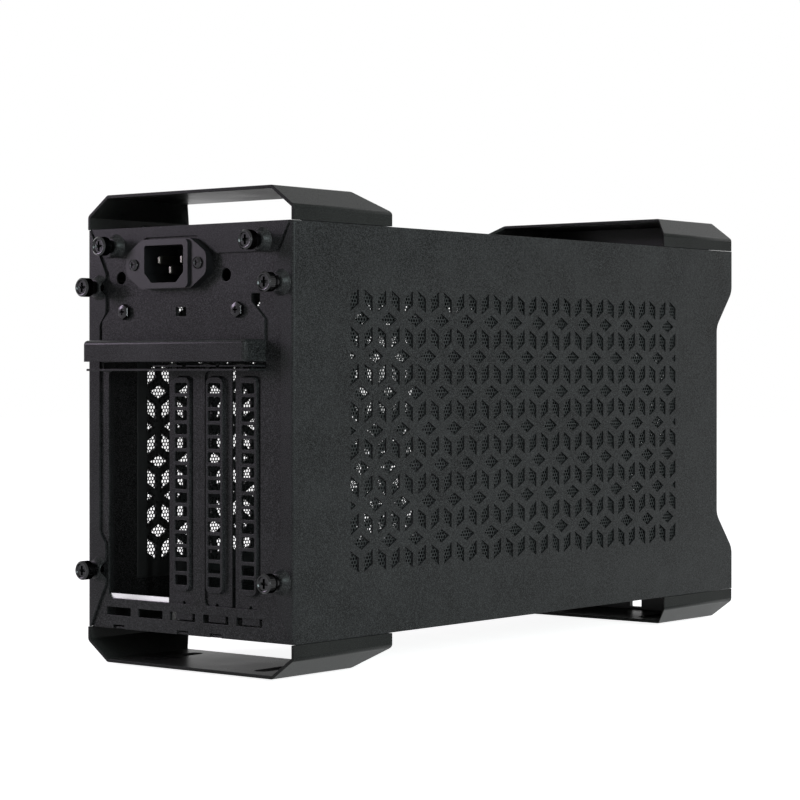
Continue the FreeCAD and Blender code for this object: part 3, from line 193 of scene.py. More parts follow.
@dataclass(frozen=True)
class Box:
    """The room that a CAD node takes at rest."""

    low: Vector
    high: Vector

    @classmethod
    def of(cls, node: str) -> "Box":
        """The box of a node, in millimetres."""
        low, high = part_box(node)
        return cls(low / MM, high / MM)

    @property
    def middle(self) -> Vector:
        """The middle of the box."""
        return (self.low + self.high) / 2.0


class Work:
    """A mesh being made, in millimetres."""

    def __init__(self) -> None:
        """Start with an empty mesh."""
        self.bm = bmesh.new()

    def trace(self, axis: Axis, loop: Loop, at: float) -> list[BMEdge]:
        """Draw a closed outline across an axis.

        Args:
            axis: The axis it is drawn across.
            loop: Its points.
            at: Its place along the axis.

        Returns:
            Its edges.
        """
        verts = [self.bm.verts.new(axis.place(u, v, at)) for u, v in loop]
        return [self.bm.edges.new(pair) for pair in zip(verts, verts[1:] + verts[:1])]

    def fill(self, axis: Axis, at: float, *loops: Loop) -> list[BMFace]:
        """Fill an outline, leaving the outlines inside it open.

        Args:
            axis: The axis the outlines are drawn across.
            at: Their place along it.
            loops: The outer outline and any holes.

        Returns:
            The new faces.
        """
        edges = [edge for loop in loops for edge in self.trace(axis, loop, at)]
        return self.close(edges, axis)

    def close(self, edges: Sequence[BMEdge], axis: Axis) -> list[BMFace]:
        """Fill between closed edge loops that lie across an axis."""
        made = bmesh.ops.triangle_fill(self.bm, edges=list(edges), use_beauty=True, normal=axis.along(1.0))
        return [item for item in made["geom"] if isinstance(item, BMFace)]

    def slab(self, axis: Axis, low: float, high: float, *loops: Loop) -> None:
        """A closed plate between two places, with holes right through it.

        Args:
            axis: The axis the outlines are drawn across.
            low, high: The plate's two faces along it.
            loops: The outer outline and any holes.
        """
        faces = self.fill(axis, low, *loops)
        made = bmesh.ops.extrude_face_region(self.bm, geom=faces)
        moved = [item for item in made["geom"] if isinstance(item, BMVert)]
        bmesh.ops.translate(self.bm, verts=moved, vec=axis.along(high - low))

    def pull(self, edges: Sequence[BMEdge], move: Vector, grow: float = 1.0) -> list[BMEdge]:
        """Extrude edges into walls.

        Args:
            edges: The edges to extrude.
            move: How far the far edges go.
            grow: How much the far edges are scaled about their middle.

        Returns:
            The far edges.
        """
        made = bmesh.ops.extrude_edge_only(self.bm, edges=list(edges))
        verts = [item for item in made["geom"] if isinstance(item, BMVert)]
        bmesh.ops.translate(self.bm, verts=verts, vec=move)
        if grow != 1.0:
            middle = sum((vert.co for vert in verts), Vector()) / len(verts)
            bmesh.ops.scale(self.bm, verts=verts, vec=(grow,) * 3, space=Matrix.Translation(-middle))
        return [item for item in made["geom"] if isinstance(item, BMEdge)]

    def stack(self, axis: Axis, levels: Sequence[tuple[Loop, float]]) -> None:
        """A closed form through outlines of equal count at rising places.

        Args:
            axis: The axis the outlines are drawn across.
            levels: Each outline with its place along the axis.
        """
        rings = [self.trace(axis, loop, at) for loop, at in levels]
        for lower, upper in zip(rings, rings[1:]):
            bmesh.ops.bridge_loops(self.bm, edges=lower + upper)
        self.close(rings[0], axis)
        self.close(rings[-1], axis)

    def lathe(self, profile: Sequence[Point], steps: int = 32) -> list[BMEdge]:
        """Turn a profile of (radius, height) points round the upright axis.

        Args:
            profile: The points, from one end to the other.
            steps: Facets in a full turn.

        Returns:
            The edges of the ring that the first point makes.
        """
        verts = [self.bm.verts.new((radius, 0.0, height)) for radius, height in profile]
        edges = [self.bm.edges.new(pair) for pair in zip(verts, verts[1:])]
        known = set(self.bm.verts) - set(verts)
        bmesh.ops.spin(self.bm, geom=verts + edges, cent=(0, 0, 0), axis=(0, 0, 1), angle=math.tau,
                       steps=steps, use_merge=True)
        fresh = [vert for vert in self.bm.verts if vert not in known]
        bmesh.ops.remove_doubles(self.bm, verts=fresh, dist=TOUCHING)
        radius, height = profile[0]
        found = {vert for vert in self.bm.verts if vert not in known and abs(vert.co.z - height) < TOUCHING
                 and abs(vert.co.xy.length - radius) < NEAR}
        return [edge for edge in self.bm.edges if set(edge.verts) <= found]

    def recess(self, rim: Sequence[BMEdge], outline: Loop, height: float, depth: float) -> None:
        """Close the flat top inside a rim, with a tapered recess sunk into it.

        Args:
            rim: The ring round the flat top.
            outline: The recess's outline.
            height: The flat top's place on the upright axis.
            depth: How deep the recess goes.
        """
        mouth = self.trace(Axis.Z, outline, height)
        self.close(list(rim) + mouth, Axis.Z)
        self.close(self.pull(mouth, UP * -depth, RECESS_TAPER), Axis.Z)

    def seat(self, middle: Vector, out: Vector) -> None:
        """Stand everything made so far at a point, its upright axis along out."""
        turn = UP.rotation_difference(out).to_matrix().to_4x4()
        bmesh.ops.transform(self.bm, verts=self.bm.verts, matrix=Matrix.Translation(middle) @ turn)

    def take(self, other: "Work") -> None:
        """Add a copy of another mesh to this one and free it.

        Args:
            other: The mesh to add.
        """
        mesh = bpy.data.meshes.new("taken")
        other.bm.to_mesh(mesh)
        other.bm.free()
        self.bm.from_mesh(mesh)
        bpy.data.meshes.remove(mesh)

    def trim(self, point: Vector, away: Vector) -> None:
        """Cut everything off that lies beyond a plane.

        Args:
            point: A point of the plane.
            away: The plane's normal, towards what is cut off.
        """
        everything = list(self.bm.verts) + list(self.bm.edges) + list(self.bm.faces)
        bmesh.ops.bisect_plane(self.bm, geom=everything, dist=ON_PLANE, plane_co=point, plane_no=away,
                               clear_outer=True)

    def weld(self, distance: float = NEAR) -> None:
        """Join points that lie together."""
        bmesh.ops.remove_doubles(self.bm, verts=list(self.bm.verts), dist=distance)

    def face_out(self, way: Vector | None = None) -> None:
        """Point the faces outwards, or an open skin's faces, taken together, along a way.

        Args:
            way: The way an open skin faces, or None for a closed mesh.
        """
        bmesh.ops.recalc_face_normals(self.bm, faces=list(self.bm.faces))
        if way is not None:
            leaning = sum(face.normal.dot(way) * face.calc_area() for face in self.bm.faces)
            if leaning < 0.0:
                bmesh.ops.reverse_faces(self.bm, faces=list(self.bm.faces))


# Shaders
class Signal:
    """A shader value. Sums and products of signals and numbers add Math nodes."""

    def __init__(self, graph: "Graph", socket: bpy.types.NodeSocket) -> None:
        """Wrap a socket of a graph."""
        self.graph = graph
        self.socket = socket

    def _math(self, operation: str, first: Any, second: Any) -> "Signal":
        """Add one Math node."""
        return self.graph.node("ShaderNodeMath", {"operation": operation}, {0: first, 1: second})

    def __add__(self, other: Any) -> "Signal":
        """This plus another."""
        return self._math("ADD", self, other)

    def __radd__(self, other: Any) -> "Signal":
        """Another plus this."""
        return self._math("ADD", other, self)

    def __sub__(self, other: Any) -> "Signal":
        """This less another."""
        return self._math("SUBTRACT", self, other)

    def __rsub__(self, other: Any) -> "Signal":
        """Another less this."""
        return self._math("SUBTRACT", other, self)

    def __mul__(self, other: Any) -> "Signal":
        """This times another."""
        return self._math("MULTIPLY", self, other)

    def __rmul__(self, other: Any) -> "Signal":
        """Another times this."""
        return self._math("MULTIPLY", other, self)

    def __or__(self, other: Any) -> "Signal":
        """The larger of this and another."""
        return self._math("MAXIMUM", self, other)

    def __ror__(self, other: Any) -> "Signal":
        """The larger of another and this."""
        return self._math("MAXIMUM", other, self)


class Graph:
    """A node tree being wired."""

    def __init__(self, tree: bpy.types.NodeTree) -> None:
        """Wire into a node tree."""
        self.tree = tree

    def node(self, kind: str, settings: dict[str, Any], inputs: dict[Any, Any], output: Any = 0) -> Signal:
        """Add a node.

        Args:
            kind: The node's type.
            settings: Its properties, set first.
            inputs: Numbers, colours or signals for its inputs, by name or number.
            output: The output to hand on.

        Returns:
            That output.
        """
        made = self.tree.nodes.new(kind)
        for key, value in settings.items():
            setattr(made, key, value)
        for key, value in inputs.items():
            self.feed(made.inputs[key], value)
        return Signal(self, made.outputs[output])

    def feed(self, socket: bpy.types.NodeSocket, value: Any) -> None:
        """Link a signal to a socket, or set the socket's own value.

        Args:
            socket: The input.
            value: A signal, a number or a colour.
        """
        if isinstance(value, Signal):
            self.tree.links.new(value.socket, socket)
        else:
            socket.default_value = value

    def looked_at(self) -> Signal:
        """1 on rays that look at a surface, straight or by mirror or glass, and 0 on those that light it.

        Returns:
            The largest of the Light Path node's camera, glossy and transmission outputs.
        """
        camera, glossy, clear = (self.node("ShaderNodeLightPath", {}, {}, f"Is {kind} Ray")
                                 for kind in ("Camera", "Glossy", "Transmission"))
        return camera | glossy | clear


class Paint(Graph):
    """The node tree of one material."""

    def __init__(self, name: str) -> None:
        """Start a material, with its shader and its Object coordinates at hand."""
        self.material = bpy.data.materials.new(name)
        self.material.use_nodes = True
        super().__init__(self.material.node_tree)
        self.shader = next(node for node in self.tree.nodes if node.type == "BSDF_PRINCIPLED")
        self.place = self.node("ShaderNodeTexCoord", {}, {}, "Object")

    def set(self, **values: Any) -> None:
        """Feed the sockets of the shader, named with _ for a space."""
        for key, value in values.items():
            self.feed(self.shader.inputs[key.replace("_", " ")], value)

    def noise(self, grain: float, detail: float, stretch: Triple = (1.0, 1.0, 1.0)) -> Signal:
        """Noise with grains of a size in millimetres, stretched along the axes.

        Args:
            grain: The size of a grain.
            detail: How many finer layers the noise has.
            stretch: How much longer a grain is along each axis.

        Returns:
            The noise, from 0 to 1.
        """
        inputs = {"Vector": self.place, "Scale": tuple(1.0 / length for length in stretch)}
        scaled = self.node("ShaderNodeMapping", {}, inputs)
        inputs = {"Vector": scaled, "Scale": 1.0 / (grain * MM), "Detail": detail}
        return self.node("ShaderNodeTexNoise", {}, inputs)

    def blend(self, share: Any, one: Sequence[float], other: Sequence[float]) -> Signal:
        """A colour between two colours."""
        settings = {"data_type": "RGBA"}
        return self.node("ShaderNodeMix", settings, {0: share, 6: (*one, 1.0), 7: (*other, 1.0)}, 2)

    def bump(self, height: Signal, depth: float) -> None:
        """Raise the surface by a height of 0 to 1, as deep as given in millimetres."""
        self.set(Normal=self.node("ShaderNodeBump", {}, {"Height": height, "Distance": depth * MM}))


def lighter(colour: Sequence[float], factor: float) -> Triple:
    """A colour made lighter or darker by a factor."""
    red, green, blue = (min(1.0, channel * factor) for channel in colour)
    return red, green, blue


@dataclass(frozen=True)
class Finish:
    """A painted or moulded surface: fine grain, slow change of tone, and the shine of its top layer."""

    slow_grain: ClassVar[float] = 70.0
    contrast: ClassVar[float] = 4.0
    ground: ClassVar[float] = 0.2
    speckle_shine: ClassVar[float] = 0.15
    darkest: ClassVar[float] = 0.1
    lightest: ClassVar[float] = 1.9
    coat_roughness: ClassVar[float] = 0.15

    colour: Triple
    roughness: float
    specular: float = 0.5
    metallic: float = 0.0
    grain: float = 0.6
    relief: float = 0.02
    speckle: float = 0.2
    drift: float = 0.08
    coat: float = 0.0

    def material(self, name: str) -> bpy.types.Material:
        """Make the material.

        Args:
            name: Its name.

        Returns:
            The material.
        """
        paint = Paint(name)
        fine = paint.noise(self.grain, 3.0)
        slow = paint.noise(self.grain * self.slow_grain, 1.0)
        dots = ((fine - 0.5) | 0.0) * self.speckle * self.contrast
        tone = 0.5 - self.ground * self.speckle + dots + (slow - 0.5) * self.drift * self.contrast
        dark, light = (lighter(self.colour, factor) for factor in (self.darkest, self.lightest))
        rough = self.roughness + (slow - 0.5) * self.drift + (fine - 0.5) * self.speckle * self.speckle_shine
        paint.set(Base_Color=paint.blend(tone, dark, light), Roughness=rough, Metallic=self.metallic,
                  Specular_IOR_Level=self.specular, Coat_Weight=self.coat,
                  Coat_Roughness=self.coat_roughness)
        paint.bump(self.height(paint, fine), self.relief)
        return paint.material

    def height(self, paint: Paint, fine: Signal) -> Signal:
        """The surface's relief, from its grain."""
        return fine


@dataclass(frozen=True)
class PowderCoat(Finish):
    """A textured powder coat: small beads on a wavier skin."""

    fine_share: ClassVar[float] = 0.7
    bead_share: ClassVar[float] = 0.5

    bead: float = 1.3

    def height(self, paint: Paint, fine: Signal) -> Signal:
        """Beads over the slower waves of the coat."""
        return fine * self.fine_share + paint.noise(self.bead, 1.0) * self.bead_share


@dataclass(frozen=True)
class DrawnMetal(Finish):
    """Plated or drawn metal with faint lines along one axis."""

    stretch: Triple = (1.0, 14.0, 1.0)

    def height(self, paint: Paint, fine: Signal) -> Signal:
        """Lines drawn out along the stretch."""
        return paint.noise(self.grain, 2.0, self.stretch)


@dataclass(frozen=True)
class CircuitBoard(Finish):
    """Solder mask over copper lines, which take a length for each radian of their wave."""

    waviness: ClassVar[float] = 3.0
    line_share: ClassVar[float] = 0.8

    radian: float = 2.4

    def height(self, paint: Paint, fine: Signal) -> Signal:
        """Raised lines under the mask.

        Args:
            paint: The material's graph.
            fine: The grain.

        Returns:
            The relief.
        """
        settings = {"wave_type": "BANDS", "bands_direction": "X"}
        inputs = {"Vector": paint.place, "Scale": 1.0 / (WAVE_RADIANS * self.radian * MM),
                  "Distortion": self.waviness}
        lines = paint.node("ShaderNodeTexWave", settings, inputs, "Fac")
        return lines * self.line_share + fine * (1.0 - self.line_share)


FINISHES: dict[str, Finish] = {
    "case_black": PowderCoat((0.0265, 0.0268, 0.0272), 0.30, 0.09, grain=0.34, relief=0.018, speckle=1.8),
    "bracket_black": PowderCoat((0.0215, 0.0217, 0.0208), 0.30, 0.05, grain=0.36, relief=0.01,
                                speckle=1.1, bead=0.9),
    # The mesh sheet's colour is lighter than the case's coat as painted light, making up for the shade it
    # lies in behind the grille.
    "mesh_black": Finish((0.040, 0.041, 0.041), 0.36, 0.08, grain=0.3, speckle=0.3),
    "cover_black": PowderCoat((0.0265, 0.0262, 0.0275), 0.30, 0.09, grain=0.34, relief=0.016, speckle=1.8),
    "thumbscrew_black": Finish((0.030, 0.030, 0.031), 0.2, metallic=1.0, grain=0.5, relief=0.003),
    "screw_black": Finish((0.026, 0.026, 0.027), 0.2, metallic=1.0, grain=0.4, relief=0.003),
    "zinc": DrawnMetal((0.62, 0.62, 0.60), 0.36, metallic=1.0, grain=0.25, relief=0.01, speckle=0.05),
    # The slot screws' zinc, darkened from 0.62 to 0.05: painted shade for the hood's shadow over them.
    "zinc_painted_shade": DrawnMetal((0.05, 0.05, 0.05), 0.5, metallic=1.0, grain=0.25, relief=0.01, speckle=0.05),
    "inlet_plastic": Finish((0.010, 0.0101, 0.0108), 0.33, 0.2, grain=0.35, relief=0.015, speckle=0.5),
    # The blades' metal is darkened to 0.15 as painted shade, standing in for the dark cavity round them that
    # they mirror.
    "pin_metal": DrawnMetal((0.15, 0.145, 0.13), 0.3, metallic=1.0, grain=0.3, relief=0.006, speckle=0.05),
    "rubber": Finish((0.004, 0.004, 0.004), 0.85, 0.06, grain=0.45, relief=0.03),
    "fan_plastic": Finish((0.009, 0.009, 0.009), 0.45, 0.25, grain=0.5, relief=0.012),
    "supply_black": Finish((0.008, 0.008, 0.0083), 0.5, 0.2, grain=0.5, relief=0.015),
    "board_green": CircuitBoard((0.016, 0.07, 0.032), 0.35, 0.5, grain=0.5, relief=0.03),
    "port_steel": DrawnMetal((0.6, 0.6, 0.6), 0.3, metallic=1.0, grain=0.2, relief=0.008, speckle=0.05),
    "jack_plastic": Finish((0.008, 0.008, 0.008), 0.4, 0.3, grain=0.4, relief=0.01),
    "button_black": Finish((0.009, 0.009, 0.0093), 0.25, 0.4, grain=0.5, relief=0.006, coat=0.2),
}


class Bench:
    """Where meshes become pieces of the case, riding on the bodies of the nodes they stand for."""

    bevel_segments: int = 2
    bevel_angle: float = 38.0
    node_join: float = 0.001

    def __init__(self) -> None:
        """Read the bodies and slots from the record, and make the material of every finish."""
        record = frame["record"]
        self.body = {node: body for body, nodes in record["behaviour"]["bodies"].items() for node in nodes}
        self.slot = {part["node"]: part["material_slot"] for part in record["subparts"]}
        self.paint = {slot: finish.material(slot) for slot, finish in FINISHES.items()}

    def fit(self, work: Work, node: str, name: str = "", edge: Edge = Edge.SHEET, wall: float = 0.0,
            crisp: float = 35.0, finish: str = "") -> bpy.types.Object:
        """Make a piece that stands for a CAD node.

        Args:
            work: The mesh, which is freed.
            node: The node that it stands for.
            name: The piece's name, if it isn't the node's with _dressed after it.
            edge: How softly its edges are broken.
            wall: The sheet thickness that an open skin gets on its inner side, or 0 for a closed mesh.
            crisp: The angle in degrees above which an edge without a break looks sharp.
            finish: The finish's name, if it isn't the one of the node's slot.

        Returns:
            The piece.
        """
        name = name or f"{node}_dressed"
        bmesh.ops.scale(work.bm, verts=list(work.bm.verts), vec=(MM,) * 3)
        mesh = bpy.data.meshes.new(name)
        work.bm.to_mesh(mesh)
        work.bm.free()
        piece = bpy.data.objects.new(name, mesh)
        bpy.context.scene.collection.objects.link(piece)
        mesh.materials.append(self.paint[finish or self.slot[node]])
        mesh.shade_smooth()
        if wall:
            shell = piece.modifiers.new("wall", "SOLIDIFY")
            shell.thickness = wall * MM
            shell.offset = -1.0
            shell.use_even_offset = True
        if edge is Edge.KEEN:
            mesh.set_sharp_from_angle(angle=math.radians(crisp))
        else:
            self.break_edges(piece, edge.value)
        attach(piece, self.body[node])
        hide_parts(node)
        log.info("%s: %d faces", name, len(mesh.polygons))
        return piece

    def break_edges(self, piece: bpy.types.Object, width: float) -> None:
        """Round off the sharp edges of a piece by a width in millimetres.

        Args:
            piece: The piece.
            width: The width of the break.
        """
        bevel = piece.modifiers.new("edges", "BEVEL")
        bevel.width = width * MM
        bevel.segments = self.bevel_segments
        bevel.limit_method = "ANGLE"
        bevel.angle_limit = math.radians(self.bevel_angle)
        bevel.harden_normals = True

    def dress(self, node: str, edge: Edge = Edge.KEEN) -> None:
        """Give a CAD node that is shown its finish, and break its edges.

        Args:
            node: The node.
            edge: How softly its edges are broken.
        """
        item = frame["nodes"][node]
        item.data.materials.clear()
        item.data.materials.append(self.paint[self.slot[node]])
        if edge is not Edge.KEEN:
            joined = item.modifiers.new("joined", "WELD")
            joined.merge_threshold = self.node_join * MM
            self.break_edges(item, edge.value)
        log.info("%s keeps its solid", node)


@dataclass(frozen=True)
class Body:
    """The main planes of the case, read from the frame."""

    half: float
    rear: float
    front: float
    base: float
    top: float

    @classmethod
    def read(cls) -> "Body":
        """Read the planes from the boxes of the panels and the rear foot bracket."""
        panel, foot = Box.of("right_side_panel"), Box.of("rear_bottom_bracket")
        return cls(half=panel.high.x, rear=foot.low.y, front=panel.high.y, base=panel.low.z, top=panel.high.z)


@dataclass
class TumblingBlocks:
    """Vent holes in a tumbling block pattern: upright rhombs in pairs, with diamonds between the rows."""

    columns: int
    rows: int
    edge: float
    strut: float
    middle: Point

    @property
    def step(self) -> float:
        """The width of a column."""
        return self.edge * math.sqrt(3.0) / 2.0

    def holes(self) -> list[Loop]:
        """Outline every hole.

        Returns:
            The outlines, row by row.
        """
        share = 1.0 - self.strut / self.step
        left = self.middle[0] - self.columns * self.step / 2.0
        first = self.middle[1] + self.rows * 0.75 * self.edge - self.edge
        found: list[Loop] = []

        def add(u: float, v: float, corners: Sequence[Point]) -> None:
            """Add one hole, smaller than its block by the strut."""
            found.append([(u + share * du, v + share * dv) for du, dv in corners])

        half, tall = self.step / 2.0, self.edge / 2.0
        for row in range(self.rows):
            level = first - 1.5 * self.edge * row
            for column in range(self.columns):
                rise = tall / 2.0 if (column + row) % 2 == 0 else -tall / 2.0
                corners = [(-half, -tall - rise), (half, -tall + rise), (half, tall + rise),
                           (-half, tall - rise)]
                add(left + (column + 0.5) * self.step, level + tall / 2.0, corners)
            if row == self.rows - 1:
                break
            for column in range(1 + row % 2, self.columns, 2):
                add(left + column * self.step, level - tall,
                    [(-self.step, 0.0), (0.0, -tall), (self.step, 0.0), (0.0, tall)])
            if row % 2:
                found += self._ends(left, level - tall, share)
        return found

    def _ends(self, left: float, level: float, share: float) -> list[Loop]:
        """The two halves of diamonds at the ends of a row, cut off in line with the rhombs.

        Args:
            left: The field's left edge.
            level: The row's middle.
            share: A hole's size against its block's.

        Returns:
            The two outlines.
        """
        cut = (1.0 - share) / 2.0
        reach, tall = share * self.step, (share - cut) * self.edge / 2.0
        right = left + self.columns * self.step
        inset = cut * self.step
        return [[(left + inset, level - tall), (left + reach, level), (left + inset, level + tall)],
                [(right - inset, level + tall), (right - reach, level), (right - inset, level - tall)]]


@dataclass
class Dome:
    """A pressed dome under a thumbscrew."""

    base: float = 5.9
    crown: float = 4.3
    height: float = 3.6
    hole: float = 1.7
    foot: float = 0.35
    shoulder: float = 0.9
    shoulder_start: float = 15.0
    clearance: float = 1.05
    steps: int = 32

    @property
    def room(self) -> float:
        """Half the width that a flange keeps for the dome."""
        return self.base * self.clearance

    def skin(self, x: float, y: float, z: float) -> Work:
        """The dome's outer skin, standing out to the rear from a point on a flange.

        Args:
            x, y, z: The point on the flange.

        Returns:
            The skin, open at its foot and its hole.
        """
        work = Work()
        bend = arc(self.crown - self.shoulder, self.height - self.shoulder, self.shoulder,
                   self.shoulder_start, 90.0 - self.shoulder_start, 4)
        foot = [(self.base, 0.0), (self.base - self.foot, self.foot)]
        work.lathe([*foot, *bend, (self.hole, self.height)], self.steps)
        work.seat(Vector((x, y, z)), REARWARD)
        return work

    def mouth(self, x: float, z: float) -> Loop:
        """The ring where the dome meets its flange."""
        return ring(x, z, self.base, self.steps)


@dataclass
class SidePanel:
    """A folded side panel: grille, stepped front edge, and a rear flange with tabs for two thumbscrews.

    Its upper and lower edges overreach the node's a little, into the seams to the brackets.
    """

    notch_corners: ClassVar[tuple[int, ...]] = (2, 3, 4, 5)
    tab_corners: ClassVar[tuple[int, ...]] = (6, 7, 8, 9)

    body: Body
    side: float
    node: str
    vents: TumblingBlocks
    sheet: float = 1.0
    fold: float = 1.5
    overreach: float = 0.4
    notch_depth: float = 15.2
    notch_start: float = 40.4
    notch_round: float = 9.0
    nose_height: float = 21.7
    flange_width: float = 7.6
    tab_width: float = 11.6
    tab_slope: float = 20.0
    tab_end: float = 38.0
    tab_root: float = 43.3
    tab_round: float = 4.0
    screw_inset: float = 7.5
    screw_end: float = 26.3
    dome: Dome = field(default_factory=Dome)

    def inset(self, distance: float) -> float:
        """The place this far in from the panel's outer face."""
        return self.side * (self.body.half - distance)

    def build(self, bench: Bench) -> None:
        """Make the panel's skin and give it its thickness.

        Args:
            bench: Where the mesh becomes a piece.
        """
        body, work = self.body, Work()
        work.fill(Axis.X, self.inset(0.0), self.outline(), *self.vents.holes())
        self.add_fold(work)
        levels = (body.base + self.screw_end, body.top - self.screw_end)
        screws = [(self.inset(self.screw_inset), level) for level in levels]
        work.fill(Axis.Y, body.rear, self.flange(levels[0]), *[self.dome.mouth(x, z) for x, z in screws])
        for x, z in screws:
            work.take(self.dome.skin(x, body.rear, z))
        work.trim(Vector((self.inset(self.tab_width), 0, 0)), Vector((-self.side, 0, 0)))
        work.weld(SEAM)
        work.face_out(Vector((self.side, 0, 0)))
        bench.fit(work, self.node, wall=self.sheet)

    def outline(self) -> Loop:
        """The side's outline in (y, z), from the fold to the stepped front edge.

        Returns:
            The outline, with the corners of its step rounded.
        """
        body = self.body
        notch = body.front - self.notch_depth
        back, low, high = body.rear + self.fold, body.base - self.overreach, body.top + self.overreach
        loop = [(back, low), (body.front, low), (body.front, body.base + self.nose_height),
                (notch, body.base + self.notch_start), (notch, body.top - self.notch_start),
                (body.front, body.top - self.nose_height), (body.front, high), (back, high)]
        return softened(loop, self.notch_round, 6, self.notch_corners)

    def add_fold(self, work: Work) -> None:
        """Turn the side's rear edge round into the flange.

        Args:
            work: The skin that it is added to.
        """
        body, bm = self.body, work.bm
        levels = (body.base - self.overreach, body.top + self.overreach)
        ends = [bm.verts.new((self.inset(0.0), body.rear + self.fold, z)) for z in levels]
        edge = bm.edges.new(ends)
        bmesh.ops.spin(bm, geom=[*ends, edge], cent=(self.inset(self.fold), body.rear + self.fold, 0),
                       axis=(0, 0, -self.side), angle=math.pi / 2.0, steps=5)

    def flange(self, level: float) -> Loop:
        """The rear flange's outline in (x, z), with its tabs drawn past their edge round the domes.

        Args:
            level: The height of the lower screw.

        Returns:
            The outline, its upper half the mirror of its lower.
        """
        body, room, tab = self.body, self.dome.room, self.tab_width
        beyond = self.screw_inset + room
        lower = [(self.fold, body.base - self.overreach), (tab, body.base + self.tab_slope),
                 (tab, level - room), (beyond, level - room), (beyond, level + room), (tab, level + room),
                 (tab, body.base + self.tab_end), (self.flange_width, body.base + self.tab_root)]
        upper = [(distance, body.base + body.top - z) for distance, z in reversed(lower)]
        loop = [(self.inset(distance), z) for distance, z in lower + upper]
        return softened(loop, self.tab_round, 4, self.tab_corners)


@dataclass
class MeshSheet:
    """A fine perforated sheet behind a grille, open where the grille's holes let it be seen."""

    axis: Axis
    node: str
    vents: TumblingBlocks
    out: float
    shares: int = 1
    pitch: float = 1.86
    hole: float = 1.4
    wall: float = 0.3
    margin: float = 0.55
    cell_seam: float = 0.02
    crisp: float = 60.0

    def build(self, bench: Bench) -> None:
        """Make the sheet in equal lengths.

        Args:
            bench: Where the mesh becomes a piece.
        """
        box = Box.of(self.node)
        across = [axis for axis in range(3) if axis != self.axis.value]
        low, high = ([corner[axis] for axis in across] for corner in (box.low, box.high))
        face = (box.high if self.out > 0 else box.low)[self.axis.value]
        length = (high[0] - low[0]) / self.shares
        for share in range(self.shares):
            start = low[0] + share * length
            work = self.cells(face, (start, low[1]), (start + length, high[1]))
            bench.fit(work, self.node, f"{self.node}_sheet_{share + 1}", Edge.KEEN, self.wall, self.crisp)

    def cells(self, face: float, low: Point, high: Point) -> Work:
        """The skin of one length, as six sided cells with open middles.

        Args:
            face: The sheet's outer face along its axis.
            low, high: The corners of this length.

        Returns:
            The skin, facing out.
        """
        work = Work()
        rise = self.pitch * math.sqrt(3.0) / 2.0
        columns = math.ceil((high[0] - low[0]) / self.pitch) + 2
        pairs = math.ceil((high[1] - low[1]) / rise / 2.0) + 1
        corner_radius = self.pitch / math.sqrt(3.0)
        first = bmesh.ops.create_circle(work.bm, cap_ends=True, segments=HEX_SIDES, radius=corner_radius)
        turn = Matrix([self.axis.place(*row) for row in ((1, 0, 0), (0, 1, 0), (0, 0, 1))]).transposed()
        start = self.axis.place(low[0], low[1], face)
        bmesh.ops.transform(work.bm, verts=first["verts"], matrix=Matrix.Translation(start) @ turn.to_4x4())
        self.array(work, self.axis.place(self.pitch, 0.0, 0.0), columns)
        self.array(work, self.axis.place(self.pitch / 2.0, rise, 0.0), 2)
        self.array(work, self.axis.place(0.0, 2.0 * rise, 0.0), pairs)
        work.weld(self.cell_seam)
        seen = self.seen(low, rise)
        opened = [cell for cell in work.bm.faces if self.key(cell, low, rise) in seen]
        bmesh.ops.inset_individual(work.bm, faces=opened, thickness=(self.pitch - self.hole) / 2.0,
                                   use_even_offset=True)
        bmesh.ops.delete(work.bm, geom=opened, context="FACES")
        for corner, way in ((low, -1.0), (high, 1.0)):
            for u, v in ((way, 0.0), (0.0, way)):
                work.trim(self.axis.place(corner[0], corner[1], face), self.axis.place(u, v, 0.0))
        work.face_out(self.axis.along(self.out))
        return work

    @staticmethod
    def array(work: Work, move: Vector, count: int) -> None:
        """Repeat everything made so far along a move.

        Args:
            work: The mesh.
            move: The move from one copy to the next.
            count: How many there are in the end.
        """
        everything = list(work.bm.verts) + list(work.bm.edges) + list(work.bm.faces)
        bmesh.ops.spin(work.bm, geom=everything, cent=(0, 0, 0), axis=(0, 0, 1), dvec=move, angle=0.0,
                       steps=count - 1, use_duplicate=True)

    def key(self, cell: BMFace, low: Point, rise: float) -> tuple[int, int]:
        """The row and place in its row of a cell.

        Args:
            cell: The cell.
            low: The corner that the cells start from.
            rise: The distance between rows.

        Returns:
            The row and the place.
        """
        middle = cell.calc_center_median()
        u, v = (middle[axis] for axis in range(3) if axis != self.axis.value)
        return self.index(u, v, low, rise)

    def index(self, u: float, v: float, low: Point, rise: float) -> tuple[int, int]:
        """The row and place in its row of the cell nearest a point."""
        row = round((v - low[1]) / rise)
        return row, round((u - low[0]) / self.pitch - 0.5 * (row % 2))

    def seen(self, low: Point, rise: float) -> set[tuple[int, int]]:
        """The cells that lie in a hole of the grille or just behind its edge.

        Args:
            low: The corner that the cells start from.
            rise: The distance between rows.

        Returns:
            The row and the place of each.
        """
        found: set[tuple[int, int]] = set()
        for hole in self.vents.holes():
            sides = [(Vector(one), (Vector(other) - Vector(one)).normalized())
                     for one, other in zip(hole, hole[1:] + hole[:1])]
            u_low, v_low = (min(point[axis] for point in hole) - self.pitch for axis in (0, 1))
            u_high, v_high = (max(point[axis] for point in hole) + self.pitch for axis in (0, 1))
            first, last = (round((v - low[1]) / rise) for v in (v_low, v_high))
            for row in range(first, last + 1):
                shift = 0.5 * (row % 2)
                columns = range(math.floor((u_low - low[0]) / self.pitch - shift),
                                math.ceil((u_high - low[0]) / self.pitch - shift) + 1)
                for column in columns:
                    cell = Vector((low[0] + (column + shift) * self.pitch, low[1] + row * rise))
                    gaps = [way.cross(cell - corner) for corner, way in sides]
                    if min(gaps) > -self.margin - self.hole / 2.0:
                        found.add((row, column))
        return found


